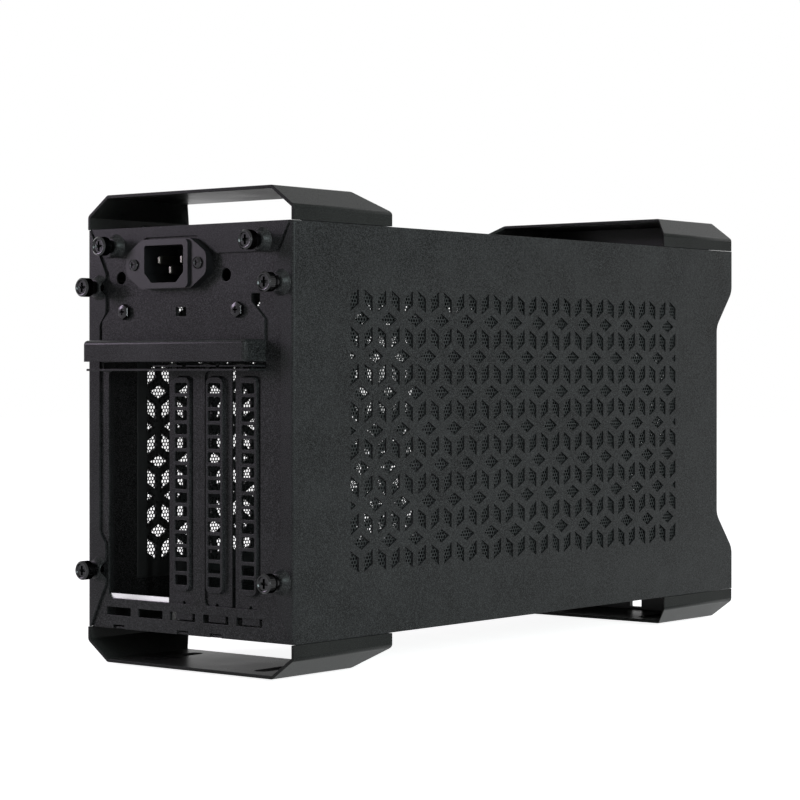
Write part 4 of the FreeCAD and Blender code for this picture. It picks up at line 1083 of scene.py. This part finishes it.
@dataclass
class Thumbscrew:
    """A thumbscrew with a knurled barrel head and a cross recess."""

    node: str
    rear: float
    head_radius: float = 4.35
    head_length: float = 5.4
    collar_radius: float = 3.1
    reach: float = 11.6
    collar_end: float = 3.8
    shank_radius: float = 1.5
    shank_inside: float = 5.9
    chamfer: float = 0.7
    facets: int = 30
    knurl_inset: float = 0.1
    knurl_depth: float = 0.45
    grip_slack: float = 0.1
    dish: float = 0.65
    dish_inset: float = 0.75
    lip: tuple[Point, ...] = ((0.45, 0.1), (0.2, 0.0), (0.0, 0.0))
    under_chamfer: float = 0.2
    tip_radius: float = 0.9
    tip_length: float = 0.6
    recess: Point = (4.4, 1.25)
    recess_depth: float = 1.9
    crisp: float = 24.0

    def build(self, bench: Bench) -> None:
        """Turn the screw, knurl its grip and sink its recess.

        Args:
            bench: Where the mesh becomes a piece.
        """
        box = Box.of(self.node)
        work = Work()
        rim, floor = self.head_radius - self.chamfer, self.reach - self.dish
        grip_low, grip_high = (self.reach - self.head_length + self.chamfer, self.reach - self.chamfer)
        top = work.lathe(self.profile(rim, floor), self.facets)
        middles = [(face, face.calc_center_median()) for face in work.bm.faces]
        grip = [face for face, middle in middles
                if middle.xy.length > self.head_radius - self.grip_slack and grip_low < middle.z < grip_high]
        work.recess(top, cross(*self.recess), floor, self.recess_depth)
        work.weld()
        work.face_out()
        bmesh.ops.inset_individual(work.bm, faces=grip, thickness=self.knurl_inset, depth=-self.knurl_depth)
        work.seat(Vector((box.middle.x, self.rear, box.middle.z)), REARWARD)
        bench.fit(work, self.node, edge=Edge.KEEN, crisp=self.crisp)

    def profile(self, rim: float, floor: float) -> list[Point]:
        """The screw's (radius, height) points from its dished face to its tip.

        Args:
            rim: The radius where the head's chamfer starts.
            floor: The height of the dished face.

        Returns:
            The points.
        """
        low, tip = self.reach - self.head_length, -self.shank_inside
        lip = [(rim - inset, self.reach - drop) for inset, drop in self.lip]
        return [(rim - self.dish_inset, floor), *lip,
                (self.head_radius, self.reach - self.chamfer), (self.head_radius, low + self.chamfer),
                (rim + self.under_chamfer, low), (self.collar_radius, low),
                (self.collar_radius, self.collar_end), (self.shank_radius, self.collar_end),
                (self.shank_radius, tip + self.tip_length), (self.tip_radius, tip), (0.0, tip)]


@dataclass
class ScrewGroup:
    """Like screws with a cross recess that share a node, spread evenly over its box."""

    round_rise: ClassVar[float] = 0.5
    hex_rise: ClassVar[float] = 0.8
    rim_share: ClassVar[float] = 0.92
    rim_break: ClassVar[float] = 0.15
    recess_length: ClassVar[float] = 1.5
    recess_width: ClassVar[float] = 0.42
    recess_depth: ClassVar[float] = 0.75
    crisp: ClassVar[float] = 28.0

    node: str
    axis: Axis
    out: float
    counts: tuple[int, int]
    head: float
    tall: float
    crown: float
    shank: float
    facets: int = 32
    finish: str = ""

    def build(self, bench: Bench) -> None:
        """Make all the screws of the group.

        Args:
            bench: Where the mesh becomes a piece.
        """
        box, work = Box.of(self.node), Work()
        along = self.axis.value
        across = [axis for axis in range(3) if axis != along]
        seat = box.high[along] - self.tall if self.out > 0 else box.low[along] + self.tall
        grip = seat - box.low[along] if self.out > 0 else box.high[along] - seat
        columns, rows = (self.spread(box.low[axis], box.high[axis], count)
                         for axis, count in zip(across, self.counts))
        for u in columns:
            for v in rows:
                work.take(self.screw(self.axis.place(u, v, seat), grip))
        bench.fit(work, self.node, edge=Edge.KEEN, crisp=self.crisp, finish=self.finish)

    def spread(self, low: float, high: float, count: int) -> list[float]:
        """The middles of some heads that fill a length from end to end.

        Args:
            low, high: The ends of the length.
            count: How many heads there are.

        Returns:
            Their middles.
        """
        if count == 1:
            return [(low + high) / 2.0]
        length = high - low - 2.0 * self.head
        return [low + self.head + length * number / (count - 1) for number in range(count)]

    def screw(self, seat: Vector, grip: float) -> Work:
        """Make one screw.

        Args:
            seat: The middle of the face under its head.
            grip: How far its shank goes.

        Returns:
            The screw's mesh.
        """
        work = Work()
        wide = self.head / math.cos(math.pi / self.facets)
        rise = self.tall * (self.hex_rise if self.facets == HEX_SIDES else self.round_rise)
        profile = [(self.crown, self.tall), (wide * self.rim_share, rise + self.rim_break),
                   (wide, rise - self.rim_break), (wide, 0.0), (self.shank, 0.0), (self.shank, -grip),
                   (0.0, -grip)]
        top = work.lathe(profile, self.facets)
        half_step = Matrix.Rotation(math.pi / self.facets, 3, "Z")
        bmesh.ops.rotate(work.bm, verts=list(work.bm.verts), matrix=half_step)
        slots = cross(self.crown * self.recess_length, self.crown * self.recess_width)
        work.recess(top, slots, self.tall, self.tall * self.recess_depth)
        work.face_out()
        work.seat(seat, self.axis.along(self.out))
        return work


@dataclass
class InletSocket:
    """The mains inlet: a flange with round ends, a raised block, and a deep cavity with three blades."""

    half: float = 25.0
    tip: float = 4.6
    tip_round: float = 4.4
    block_half: float = 15.2
    block_tall: float = 11.2
    block_inset: float = 0.3
    block_round: float = 2.4
    block_out: float = 1.3
    wing: float = 4.5
    body_half: float = 13.6
    body_tall: float = 9.8
    body_round: float = 1.0
    cavity_half: float = 12.2
    cavity_tall: float = 8.4
    cavity_round: float = 1.2
    chamfer: float = 4.5
    floor: float = 2.0
    screw_half: float = 20.0
    screw_hole: float = 1.55
    blade_half: Point = (1.0, 2.0)
    blades: tuple[Point, ...] = ((-7.0, 2.0), (7.0, 2.0), (0.0, -2.6))
    blade_tip: tuple[Point, ...] = ((0.55, 0.0), (0.4, 0.25), (0.0, 1.8))

    def build(self, bench: Bench) -> None:
        """Make the socket and its blades.

        Args:
            bench: Where the mesh becomes a piece.
        """
        box, work = Box.of("inlet_socket"), Work()
        x, z = box.middle.x, box.middle.z
        face, back = box.low.y, box.high.y
        wing = face + self.block_out
        seat = wing + self.wing
        flange, block, body, cavity = self.outlines(x, z)
        screws = [ring(x + way * self.screw_half, z, self.screw_hole, 16) for way in (-1.0, 1.0)]
        holes = [self.blade(x + u, z + v, 0.0) for u, v in self.blades]
        work.fill(Axis.Y, face, block, cavity)
        work.fill(Axis.Y, wing, flange, block, *screws)
        work.fill(Axis.Y, seat, flange, body, *screws)
        work.fill(Axis.Y, back, body, *holes)
        work.fill(Axis.Y, back - self.floor, cavity, *holes)
        walls = [(block, face, wing), (flange, wing, seat), *((loop, wing, seat) for loop in screws),
                 (body, seat, back), (cavity, face, back - self.floor),
                 *((loop, back - self.floor, back) for loop in holes)]
        for loop, low, high in walls:
            work.pull(work.trace(Axis.Y, loop, low), Axis.Y.along(high - low))
        work.weld()
        work.face_out()
        bench.fit(work, "inlet_socket", edge=Edge.MOULDED)
        self.build_blades(bench, x, z)

    def outlines(self, x: float, z: float) -> tuple[Loop, Loop, Loop, Loop]:
        """The outlines of the flange, the block, the body behind the panel, and the cavity.

        Args:
            x, z: The inlet's middle.

        Returns:
            The four outlines in (x, z).
        """
        wide, tall = self.block_half, self.block_tall
        flange = [(-self.half, -self.tip), (-wide, -tall), (wide, -tall), (self.half, -self.tip),
                  (self.half, self.tip), (wide, tall), (-wide, tall), (-self.half, self.tip)]
        wide, tall = wide - self.block_inset, tall - self.block_inset
        block = oblong(-wide, wide, -tall, tall)
        wide, tall, cut = self.cavity_half, self.cavity_tall, self.chamfer
        cavity = [(cut - wide, -tall), (wide - cut, -tall), (wide, cut - tall), (wide, tall), (-wide, tall),
                  (-wide, cut - tall)]
        body = oblong(-self.body_half, self.body_half, -self.body_tall, self.body_tall)
        loops = (softened(flange, self.tip_round, 6), softened(block, self.block_round, 5),
                 softened(body, self.body_round, 3), softened(cavity, self.cavity_round, 4))
        flange, block, body, cavity = ([(x + u, z + v) for u, v in loop] for loop in loops)
        return flange, block, body, cavity

    def blade(self, x: float, z: float, inset: float) -> Loop:
        """The outline of a blade, made smaller by an inset."""
        wide, tall = (half - inset for half in self.blade_half)
        return oblong(x - wide, x + wide, z - tall, z + tall)

    def build_blades(self, bench: Bench, x: float, z: float) -> None:
        """Make the blades with tapered tips.

        Args:
            bench: Where the mesh becomes a piece.
            x, z: The inlet's middle.
        """
        box, work = Box.of("inlet_pins"), Work()
        for u, v in self.blades:
            loops = [(self.blade(x + u, z + v, inset), box.low.y + depth) for inset, depth in self.blade_tip]
            work.stack(Axis.Y, [*loops, (self.blade(x + u, z + v, 0.0), box.high.y)])
        work.face_out()
        bench.fit(work, "inlet_pins")


@dataclass
class SlotCover:
    """A cover strip with a pressed boss, a row of holes, a tongue and a tab."""

    node: str
    sheet: float = 0.8
    tongue_half: float = 5.2
    strip_rise: float = 4.8
    shoulder: float = 2.6
    boss_half: float = 5.5
    boss_low: float = 12.8
    boss_tall: float = 96.5
    boss_out: float = 2.1
    boss_round: float = 3.2
    boss_draw: float = 0.45
    raised_round: float = 2.8
    holes: int = 15
    hole_first: float = 18.1
    hole_span: float = 85.9
    hole_width: float = 7.5
    hole_height: float = 4.5
    hole_round: float = 0.7
    drain: float = 0.9
    drain_rise: float = 7.6

    def build(self, bench: Bench) -> None:
        """Press the strip and fold its tab.

        Args:
            bench: Where the mesh becomes a piece.
        """
        box, work = Box.of(self.node), Work()
        x, low, face = box.middle.x, box.low.z, box.high.y - self.sheet
        half, strip = box.high.x - x, low + self.strip_rise
        top = box.high.z
        outline = [(x - self.tongue_half, low), (x + self.tongue_half, low), (x + self.tongue_half, strip),
                   (x + half, strip + self.shoulder), (x + half, top), (x - half, top),
                   (x - half, strip + self.shoulder), (x - self.tongue_half, strip)]
        boss = softened(self.boss_loop(x, low, 0.0), self.boss_round, 5)
        raised = softened(self.boss_loop(x, low, self.boss_draw), self.raised_round, 5)
        work.fill(Axis.Y, face, outline, boss, ring(x, low + self.drain_rise, self.drain, 16))
        rims = [work.trace(Axis.Y, boss, face), work.trace(Axis.Y, raised, face - self.boss_out)]
        bmesh.ops.bridge_loops(work.bm, edges=rims[0] + rims[1])
        work.fill(Axis.Y, face - self.boss_out, raised, *self.hole_loops(x, low))
        work.fill(Axis.Z, top, oblong(x - half, x + half, box.low.y, face))
        work.weld(SEAM)
        work.face_out(REARWARD)
        bench.fit(work, self.node, wall=self.sheet)

    def boss_loop(self, x: float, low: float, inset: float) -> Loop:
        """The boss's outline with sharp corners, made smaller by an inset."""
        half, foot = self.boss_half - inset, low + self.boss_low
        return oblong(x - half, x + half, foot + inset, foot + self.boss_tall - inset)

    def hole_loops(self, x: float, low: float) -> list[Loop]:
        """The outlines of the row of holes.

        Args:
            x: The strip's middle.
            low: Its lower end.

        Returns:
            The outlines, from below.
        """
        wide, tall = self.hole_width / 2.0, self.hole_height / 2.0
        pitch = self.hole_span / (self.holes - 1)
        levels = [low + self.hole_first + pitch * number for number in range(self.holes)]
        return [softened(oblong(x - wide, x + wide, z - tall, z + tall), self.hole_round, 3)
                for z in levels]


@dataclass
class TopCover:
    """The roof plate with its vents, its folded sides, and the rear flange with two domes."""

    body: Body
    vents: TumblingBlocks
    sheet: float = 1.0
    flange: float = 12.0
    flange_top: float = 2.75
    flange_low: float = 10.15
    flange_round: float = 3.0
    side_drop: float = 11.0
    side_start: float = 14.5
    side_end: float = 12.6
    screw_x: float = 45.2
    screw_drop: float = 7.8
    bracket_screw_inset: float = 8.5
    bracket_screw_y: float = 30.0
    bracket_screw_hole: float = 1.6
    inlet_relief: float = 1.2
    inlet_block: float = 15.2
    inlet_tip: float = 4.6
    dome: Dome = field(default_factory=Dome)

    def build(self, bench: Bench) -> None:
        """Make the cover's skin and give it its thickness.

        Args:
            bench: Where the mesh becomes a piece.
        """
        body, box, work = self.body, Box.of("top_cover"), Work()
        half, roof, front = box.high.x, box.high.z, box.high.y
        wide = body.half - self.flange_top
        starts = (body.rear + self.side_start, front - self.side_end)
        right = [(half, y) for y in (body.rear, *starts, front)]
        plate = [(-wide, body.rear), (wide, body.rear), *right, *((-x, y) for x, y in reversed(right))]
        holes = [[(v, u) for u, v in hole] for hole in self.vents.holes()]
        across = body.half - self.bracket_screw_inset
        holes += [ring(x, y, self.bracket_screw_hole, 16) for x in (-across, across)
                  for y in (body.rear + self.bracket_screw_y, body.front - self.bracket_screw_y)]
        work.fill(Axis.Z, roof, plate, *holes)
        for x in (-half, half):
            work.fill(Axis.X, x, oblong(*starts, roof - self.side_drop - self.sheet, roof))
        self.add_flange(work, roof, wide)
        work.weld(SEAM)
        work.face_out(UP)
        bench.fit(work, "top_cover", wall=self.sheet)

    def add_flange(self, work: Work, roof: float, wide: float) -> None:
        """Add the rear flange, open round the inlet, with its domes cut off at its lower edge.

        Args:
            work: The skin that it is added to.
            roof: The height of the roof.
            wide: Half the flange's width at the roof.
        """
        body = self.body
        low = roof - self.sheet - self.flange
        narrow = body.half - self.flange_low
        part, level, room = Work(), body.top - self.screw_drop, self.dome.room
        screws = (-self.screw_x, self.screw_x)
        left, right = ([(x - room, low), (x - room, level - room), (x + room, level - room), (x + room, low)]
                       for x in screws)
        loop = [(-wide, roof), (-narrow, low), *left, *self.inlet_bite(low), *right, (narrow, low),
                (wide, roof)]
        loop = softened(loop, self.flange_round, 4, (1, len(loop) - 2))
        part.fill(Axis.Y, body.rear, loop, *[self.dome.mouth(x, level) for x in screws])
        for x in screws:
            part.take(self.dome.skin(x, body.rear, level))
        part.trim(Vector((0, 0, low)), -UP)
        part.weld(SEAM)
        work.take(part)

    def inlet_bite(self, low: float) -> Loop:
        """The stretch of the flange's lower edge that goes round the top of the inlet.

        Args:
            low: The height of the flange's lower edge.

        Returns:
            The stretch's points, from left to right.
        """
        inlet = Box.of("inlet_socket")
        x, grow = inlet.middle.x, self.inlet_relief
        rim, tall = self.inlet_block + grow / 2.0, inlet.high.z + grow
        drop = inlet.high.z - inlet.middle.z - self.inlet_tip + grow / 2.0
        foot = rim + (inlet.high.x - x + grow - rim) / drop * (tall - low)
        return [(x - foot, low), (x - rim, tall), (x + rim, tall), (x + foot, low)]


@dataclass
class FrontPanel:
    """The folded front sheet that follows the side panels' stepped edge, with vents and port holes."""

    body: Body
    vents: TumblingBlocks
    sheet: float = 1.3
    step: float = 15.2
    nose: float = 21.7
    flat: float = 40.4
    bend: float = 2.2
    fold_seam: float = 0.005
    clear: float = 0.3
    port_half: Point = (6.6, 2.9)
    port_round: float = 0.6
    port_places: tuple[float, ...] = (-12.0, 8.0)
    jack: Point = (-32.0, 3.0)
    button: Point = (40.0, 5.6)

    def build(self, bench: Bench) -> None:
        """Fold the skin and give it its thickness.

        Args:
            bench: Where the mesh becomes a piece.
        """
        box, body, work = Box.of("front_panel"), self.body, Work()
        face, half = box.high.y, box.high.x
        low, high = box.low.z, box.high.z
        path = [(box.low.y, low), (face, low), (face, body.base + self.nose),
                (face - self.step, body.base + self.flat), (face - self.step, body.top - self.flat),
                (face, body.top - self.nose), (face, high), (box.low.y, high)]
        path = softened(path, self.bend, 4, range(1, len(path) - 1))
        vents, ports = self.vents.holes(), self.ports()
        for (y_one, z_one), (y_two, z_two) in zip(path, path[1:]):
            if abs(y_one - y_two) < ON_PLANE:
                holes = [hole for hole in vents + ports if all(z_one < z < z_two for _, z in hole)]
                work.fill(Axis.Y, y_one, oblong(-half, half, z_one, z_two), *holes)
            else:
                corners = [(-half, y_one, z_one), (half, y_one, z_one), (half, y_two, z_two),
                           (-half, y_two, z_two)]
                work.bm.faces.new([work.bm.verts.new(corner) for corner in corners])
        work.weld(self.fold_seam)
        work.face_out(FORWARD)
        bench.fit(work, "front_panel", wall=self.sheet)

    def ports(self) -> list[Loop]:
        """The holes for the ports and the button.

        Returns:
            Their outlines in (x, z).
        """
        level = Box.of("power_button").middle.z
        wide, tall = (half + self.clear for half in self.port_half)
        loops = [softened(oblong(x - wide, x + wide, level - tall, level + tall), self.port_round, 3)
                 for x in self.port_places]
        return loops + [ring(x, level, radius + self.clear) for x, radius in (self.jack, self.button)]


@dataclass
class PowerButton:
    """A round push button with a dished face, a collar behind the panel and a stem."""

    radius: float = 5.6
    collar: float = 7.0
    collar_tall: float = 1.2
    collar_depth: float = 1.6
    stem: float = 2.0
    dish: float = 0.35
    dish_shares: tuple[Point, ...] = ((0.0, 1.0), (2.4, 0.8), (4.4, 0.25))
    rim: float = 0.5
    facets: int = 40

    def build(self, bench: Bench) -> None:
        """Turn the button.

        Args:
            bench: Where the mesh becomes a piece.
        """
        box, work = Box.of("power_button"), Work()
        front, back = box.high.y, box.low.y
        depth, shoulder = front - back, Box.of("front_panel").high.y - self.collar_depth - back
        collar_back = shoulder - self.collar_tall
        face = [(radius, depth - self.dish * share) for radius, share in self.dish_shares]
        rim = arc(self.radius - self.rim, depth - self.rim, self.rim, 90.0, -90.0, 4)
        work.lathe([*face, *rim, (self.radius, shoulder), (self.collar, shoulder), (self.collar, collar_back),
                    (self.stem, collar_back), (self.stem, 0.0), (0.0, 0.0)], self.facets)
        work.face_out()
        work.seat(Vector((box.middle.x, back, box.middle.z)), FORWARD)
        bench.fit(work, "power_button", edge=Edge.KEEN)


@dataclass
class RubberFeet:
    """Four rubber pads with soft lower edges, pressed up into the slots of the lower brackets."""

    width: float = 9.4
    length: float = 38.0
    proud: float = 1.0
    rim: float = 1.0
    soft_edge: tuple[Point, ...] = ((0.6, 0.0), (0.18, 0.12), (0.0, 0.5))

    def build(self, bench: Bench) -> None:
        """Make the pads.

        Args:
            bench: Where the mesh becomes a piece.
        """
        box, work = Box.of("rubber_feet"), Work()
        levels = [*self.soft_edge, (0.0, self.proud), (self.rim, self.proud), (self.rim, box.high.z)]
        half = self.width / 2.0
        for x in (box.low.x + half, box.high.x - half):
            for start in (box.low.y, box.high.y - self.length):
                end = start + self.length
                work.stack(Axis.Z, [(capsule(x, half - inset, start + inset, end - inset), z)
                                    for inset, z in levels])
        work.face_out()
        bench.fit(work, "rubber_feet", edge=Edge.KEEN)


@dataclass
class Fan:
    """A fan: frame with two flanges round a drum, and a rotor with swept blades."""

    name: str
    bore: float = 43.5
    drum: float = 45.3
    flange: float = 3.8
    corner: float = 4.5
    hole: float = 2.2
    hole_inset: float = 4.75
    overlap: float = 0.1
    drum_gap: float = 0.02
    hub: float = 17.5
    hub_round: float = 2.0
    hub_bite: float = 1.0
    arm: float = 4.0
    arm_bite: float = 0.6
    base: float = 3.0
    axle: float = 4.0
    axle_proud: float = 0.6
    blades: int = 7
    reach: float = 42.0
    chord: Point = (15.0, 21.0)
    tilt: Point = (44.0, 30.0)
    sweep: float = 16.0
    camber: float = 1.3
    blade_sheet: float = 1.5

    def build(self, bench: Bench) -> None:
        """Make the frame and the rotor."""
        self.build_frame(bench)
        self.build_rotor(bench)

    def build_frame(self, bench: Bench) -> None:
        """Make the frame with its arms.

        Args:
            bench: Where the mesh becomes a piece.
        """
        node = f"{self.name}_fan_frame"
        box, work = Box.of(node), Work()
        x, y, low, high = box.middle.x, box.middle.y, box.low.z, box.high.z
        square = softened(oblong(box.low.x, box.high.x, box.low.y, box.high.y), self.corner, 6)
        columns, rows = ((box.low[axis] + self.hole_inset, box.high[axis] - self.hole_inset)
                         for axis in (0, 1))
        holes = [ring(u, v, self.hole, 16) for u in columns for v in rows]
        bore = ring(x, y, self.bore, 64)
        for start in (low, high - self.flange):
            work.slab(Axis.Z, start, start + self.flange, square, bore, *holes)
        inset = self.flange - self.overlap
        work.slab(Axis.Z, low + inset, high - inset, ring(x, y, self.drum, 64),
                  ring(x, y, self.bore + self.drum_gap, 64))
        work.slab(Axis.Z, low, low + self.base, ring(x, y, self.hub, 48))
        arm, inner, outer = self.arm / 2.0, self.hub - self.hub_bite, self.bore + self.arm_bite
        for way in (-1.0, 1.0):
            near, far = sorted((way * inner, way * outer))
            work.slab(Axis.Z, low, low + self.base, oblong(x + near, x + far, y - arm, y + arm))
            work.slab(Axis.Z, low, low + self.base, oblong(x - arm, x + arm, y + near, y + far))
        work.face_out()
        bench.fit(work, node)

    def build_rotor(self, bench: Bench) -> None:
        """Make the rotor.

        Args:
            bench: Where the mesh becomes a piece.
        """
        node = f"{self.name}_fan_rotor"
        box, work = Box.of(node), Work()
        depth = box.high.z - box.low.z
        top = depth - self.axle_proud
        soft = arc(self.hub - self.hub_round, top - self.hub_round, self.hub_round, 0.0, 90.0, 6)
        work.lathe([(0.0, 0.0), (self.hub, 0.0), *soft, (self.axle, top), (self.axle, depth), (0.0, depth)],
                   48)
        for number in range(self.blades):
            work.take(self.blade(math.tau * number / self.blades, top / 2.0))
        work.face_out()
        work.seat(Vector((box.middle.x, box.middle.y, box.low.z)), UP)
        bench.fit(work, node, edge=Edge.KEEN)

    def blade(self, heading: float, middle: float) -> Work:
        """One blade.

        Args:
            heading: The way it points, in radians.
            middle: The height of its middle.

        Returns:
            The blade, closed.
        """
        work, root = Work(), self.hub - self.hub_bite
        bmesh.ops.create_grid(work.bm, x_segments=8, y_segments=6, size=0.5)
        for vert in work.bm.verts:
            out, along = vert.co.x + 0.5, vert.co.y
            radius = root + (self.reach - root) * out
            chord = self.chord[0] + (self.chord[1] - self.chord[0]) * out
            lean = math.radians(self.tilt[0] + (self.tilt[1] - self.tilt[0]) * out)
            turn = heading + math.radians(self.sweep) * out * out + along * chord * math.cos(lean) / radius
            rise = along * chord * math.sin(lean) + self.camber * (0.25 - along * along) * 4.0
            vert.co = (radius * math.cos(turn), radius * math.sin(turn), middle + rise)
        bmesh.ops.solidify(work.bm, geom=list(work.bm.faces), thickness=self.blade_sheet)
        return work


@dataclass(frozen=True)
class Lamp:
    """A soft oblong light: its place and size in metres, its power in watts, and its tint."""

    name: str
    place: Triple
    size: Point
    power: float
    tint: Triple

    def hang(self, target: Vector) -> None:
        """Hang the light so that it faces a target.

        Args:
            target: The point that it faces.
        """
        lamp = bpy.data.lights.new(self.name, "AREA")
        lamp.shape = "RECTANGLE"
        lamp.size, lamp.size_y = self.size
        lamp.energy = self.power
        lamp.color = self.tint
        item = bpy.data.objects.new(self.name, lamp)
        item.location = self.place
        item.rotation_euler = (target - Vector(self.place)).to_track_quat("-Z", "Y").to_euler()
        bpy.context.scene.collection.objects.link(item)


LAMPS = (
    Lamp("left_window", (-1.8, -1.5, 0.8), (0.45, 0.8), 20.0, (1.0, 0.84, 1.08)),
    Lamp("right_window", (1.6, -0.4, 0.7), (0.5, 0.9), 18.0, (0.84, 1.0, 1.0)),
    Lamp("overhead", (0.0, 0.2, 2.4), (1.6, 1.6), 7.0, (1.0, 0.98, 0.95)),
    Lamp("edge_strip", (1.7, -1.38, 0.35), (0.08, 0.5), 6.0, (0.92, 1.0, 1.0)),
)


@dataclass
class Studio:
    """The floor, the lights, the background and the camera."""

    lens: float = 109.55
    sensor: float = 36.0
    yaw: float = 39.16
    eye: Triple = (0.7602, -0.9556, 0.1342)
    shift: float = -0.0346
    target_height: float = 0.11
    room_light: float = 0.18
    floor_radius: float = 6.0
    floor_colour: float = 0.75
    floor_roughness: float = 0.9
    floor_glow: float = 0.9

    def build(self) -> None:
        """Set up everything round the case."""
        self.set_camera()
        self.set_world()
        self.lay_floor()
        for lamp in LAMPS:
            lamp.hang(UP * self.target_height)
        bpy.context.scene.view_settings.view_transform = "Standard"

    def set_camera(self) -> None:
        """Stand the camera where the picture was taken."""
        lens = bpy.data.cameras.new("camera")
        lens.lens = self.lens
        lens.sensor_width = self.sensor
        lens.shift_y = self.shift
        camera = bpy.data.objects.new("camera", lens)
        camera.location = self.eye
        camera.rotation_euler = (math.pi / 2.0, 0.0, math.radians(self.yaw))
        bpy.context.scene.collection.objects.link(camera)
        bpy.context.scene.camera = camera

    def set_world(self) -> None:
        """White where it is looked at or mirrored, dimmer as a light."""
        world = bpy.data.worlds.new("room")
        world.use_nodes = True
        graph = Graph(world.node_tree)
        background = world.node_tree.nodes["Background"]
        graph.feed(background.inputs["Color"], (1.0, 1.0, 1.0, 1.0))
        strength = self.room_light + graph.looked_at() * (1.0 - self.room_light)
        graph.feed(background.inputs["Strength"], strength)
        bpy.context.scene.world = world

    def lay_floor(self) -> None:
        """A pale floor that takes the shadow and looks as white as the background."""
        mesh = bpy.data.meshes.new("floor")
        bm = bmesh.new()
        bmesh.ops.create_circle(bm, cap_ends=True, segments=64, radius=self.floor_radius)
        bm.to_mesh(mesh)
        bm.free()
        floor = bpy.data.objects.new("floor", mesh)
        paint = Paint("floor")
        glow = paint.looked_at() * self.floor_glow
        paint.set(Base_Color=(*(self.floor_colour,) * 3, 1.0), Roughness=self.floor_roughness,
                  Specular_IOR_Level=0.0, Emission_Strength=1.0,
                  Emission_Color=paint.blend(glow, (0.0, 0.0, 0.0), (1.0, 1.0, 1.0)))
        mesh.materials.append(paint.material)
        bpy.context.scene.collection.objects.link(floor)


STRUT = 3.9
SCREWS = (
    ScrewGroup("hood_screws", Axis.Y, -1.0, (2, 1), head=3.1, tall=2.4, crown=1.9, shank=1.6,
               facets=HEX_SIDES),
    ScrewGroup("inlet_screws", Axis.Y, -1.0, (2, 1), head=2.7, tall=1.4, crown=1.7, shank=1.4),
    # The slot screws take the darkened zinc, painted shade for the hood's shadow.
    ScrewGroup("slot_screws", Axis.Z, 1.0, (3, 1), head=2.7, tall=1.8, crown=1.7, shank=1.4, facets=HEX_SIDES,
               finish="zinc_painted_shade"),
    ScrewGroup("top_bracket_screws", Axis.Z, 1.0, (2, 2), head=2.6, tall=1.7, crown=1.6, shank=1.4),
    ScrewGroup("bottom_bracket_screws", Axis.Z, -1.0, (2, 2), head=2.6, tall=1.7, crown=1.6, shank=1.4),
)


def main() -> None:
    """Build the case piece by piece, then the studio round it."""
    logging.basicConfig(level=logging.INFO, format="%(message)s")
    bench, body = Bench(), Body.read()
    for side, name in ((-1.0, "left"), (1.0, "right")):
        field_middle = Box.of(f"{name}_mesh").middle
        vents = TumblingBlocks(columns=28, rows=8, edge=11.05, strut=STRUT,
                               middle=(field_middle.y, field_middle.z))
        SidePanel(body, side, f"{name}_side_panel", vents).build(bench)
        MeshSheet(Axis.X, f"{name}_mesh", vents, side, shares=2).build(bench)
        for place in ("lower", "upper", "top"):
            Thumbscrew(f"{name}_{place}_thumbscrew", body.rear).build(bench)
    for letter in "abc":
        SlotCover(f"slot_cover_{letter}").build(bench)
    length_middle, height_middle = (body.rear + body.front) / 2.0, (body.base + body.top) / 2.0
    roof_vents = TumblingBlocks(columns=20, rows=6, edge=10.5, strut=STRUT, middle=(length_middle, 0.0))
    TopCover(body, roof_vents).build(bench)
    front_vents = TumblingBlocks(columns=8, rows=6, edge=10.0, strut=STRUT, middle=(0.0, height_middle))
    FrontPanel(body, front_vents).build(bench)
    MeshSheet(Axis.Y, "front_mesh", front_vents, 1.0, hole=0.4).build(bench)
    for screws in SCREWS:
        screws.build(bench)
    InletSocket().build(bench)
    RubberFeet().build(bench)
    PowerButton().build(bench)
    for name in ("rear", "front"):
        Fan(name).build(bench)
    shown = [node for node, item in frame["nodes"].items() if not item.hide_render]
    for node in shown:
        bench.dress(node, Edge.FOLDED if "bracket" in node or "hood" in node else Edge.SHEET)
    Studio().build()


if __name__ == "__main__":
    main()
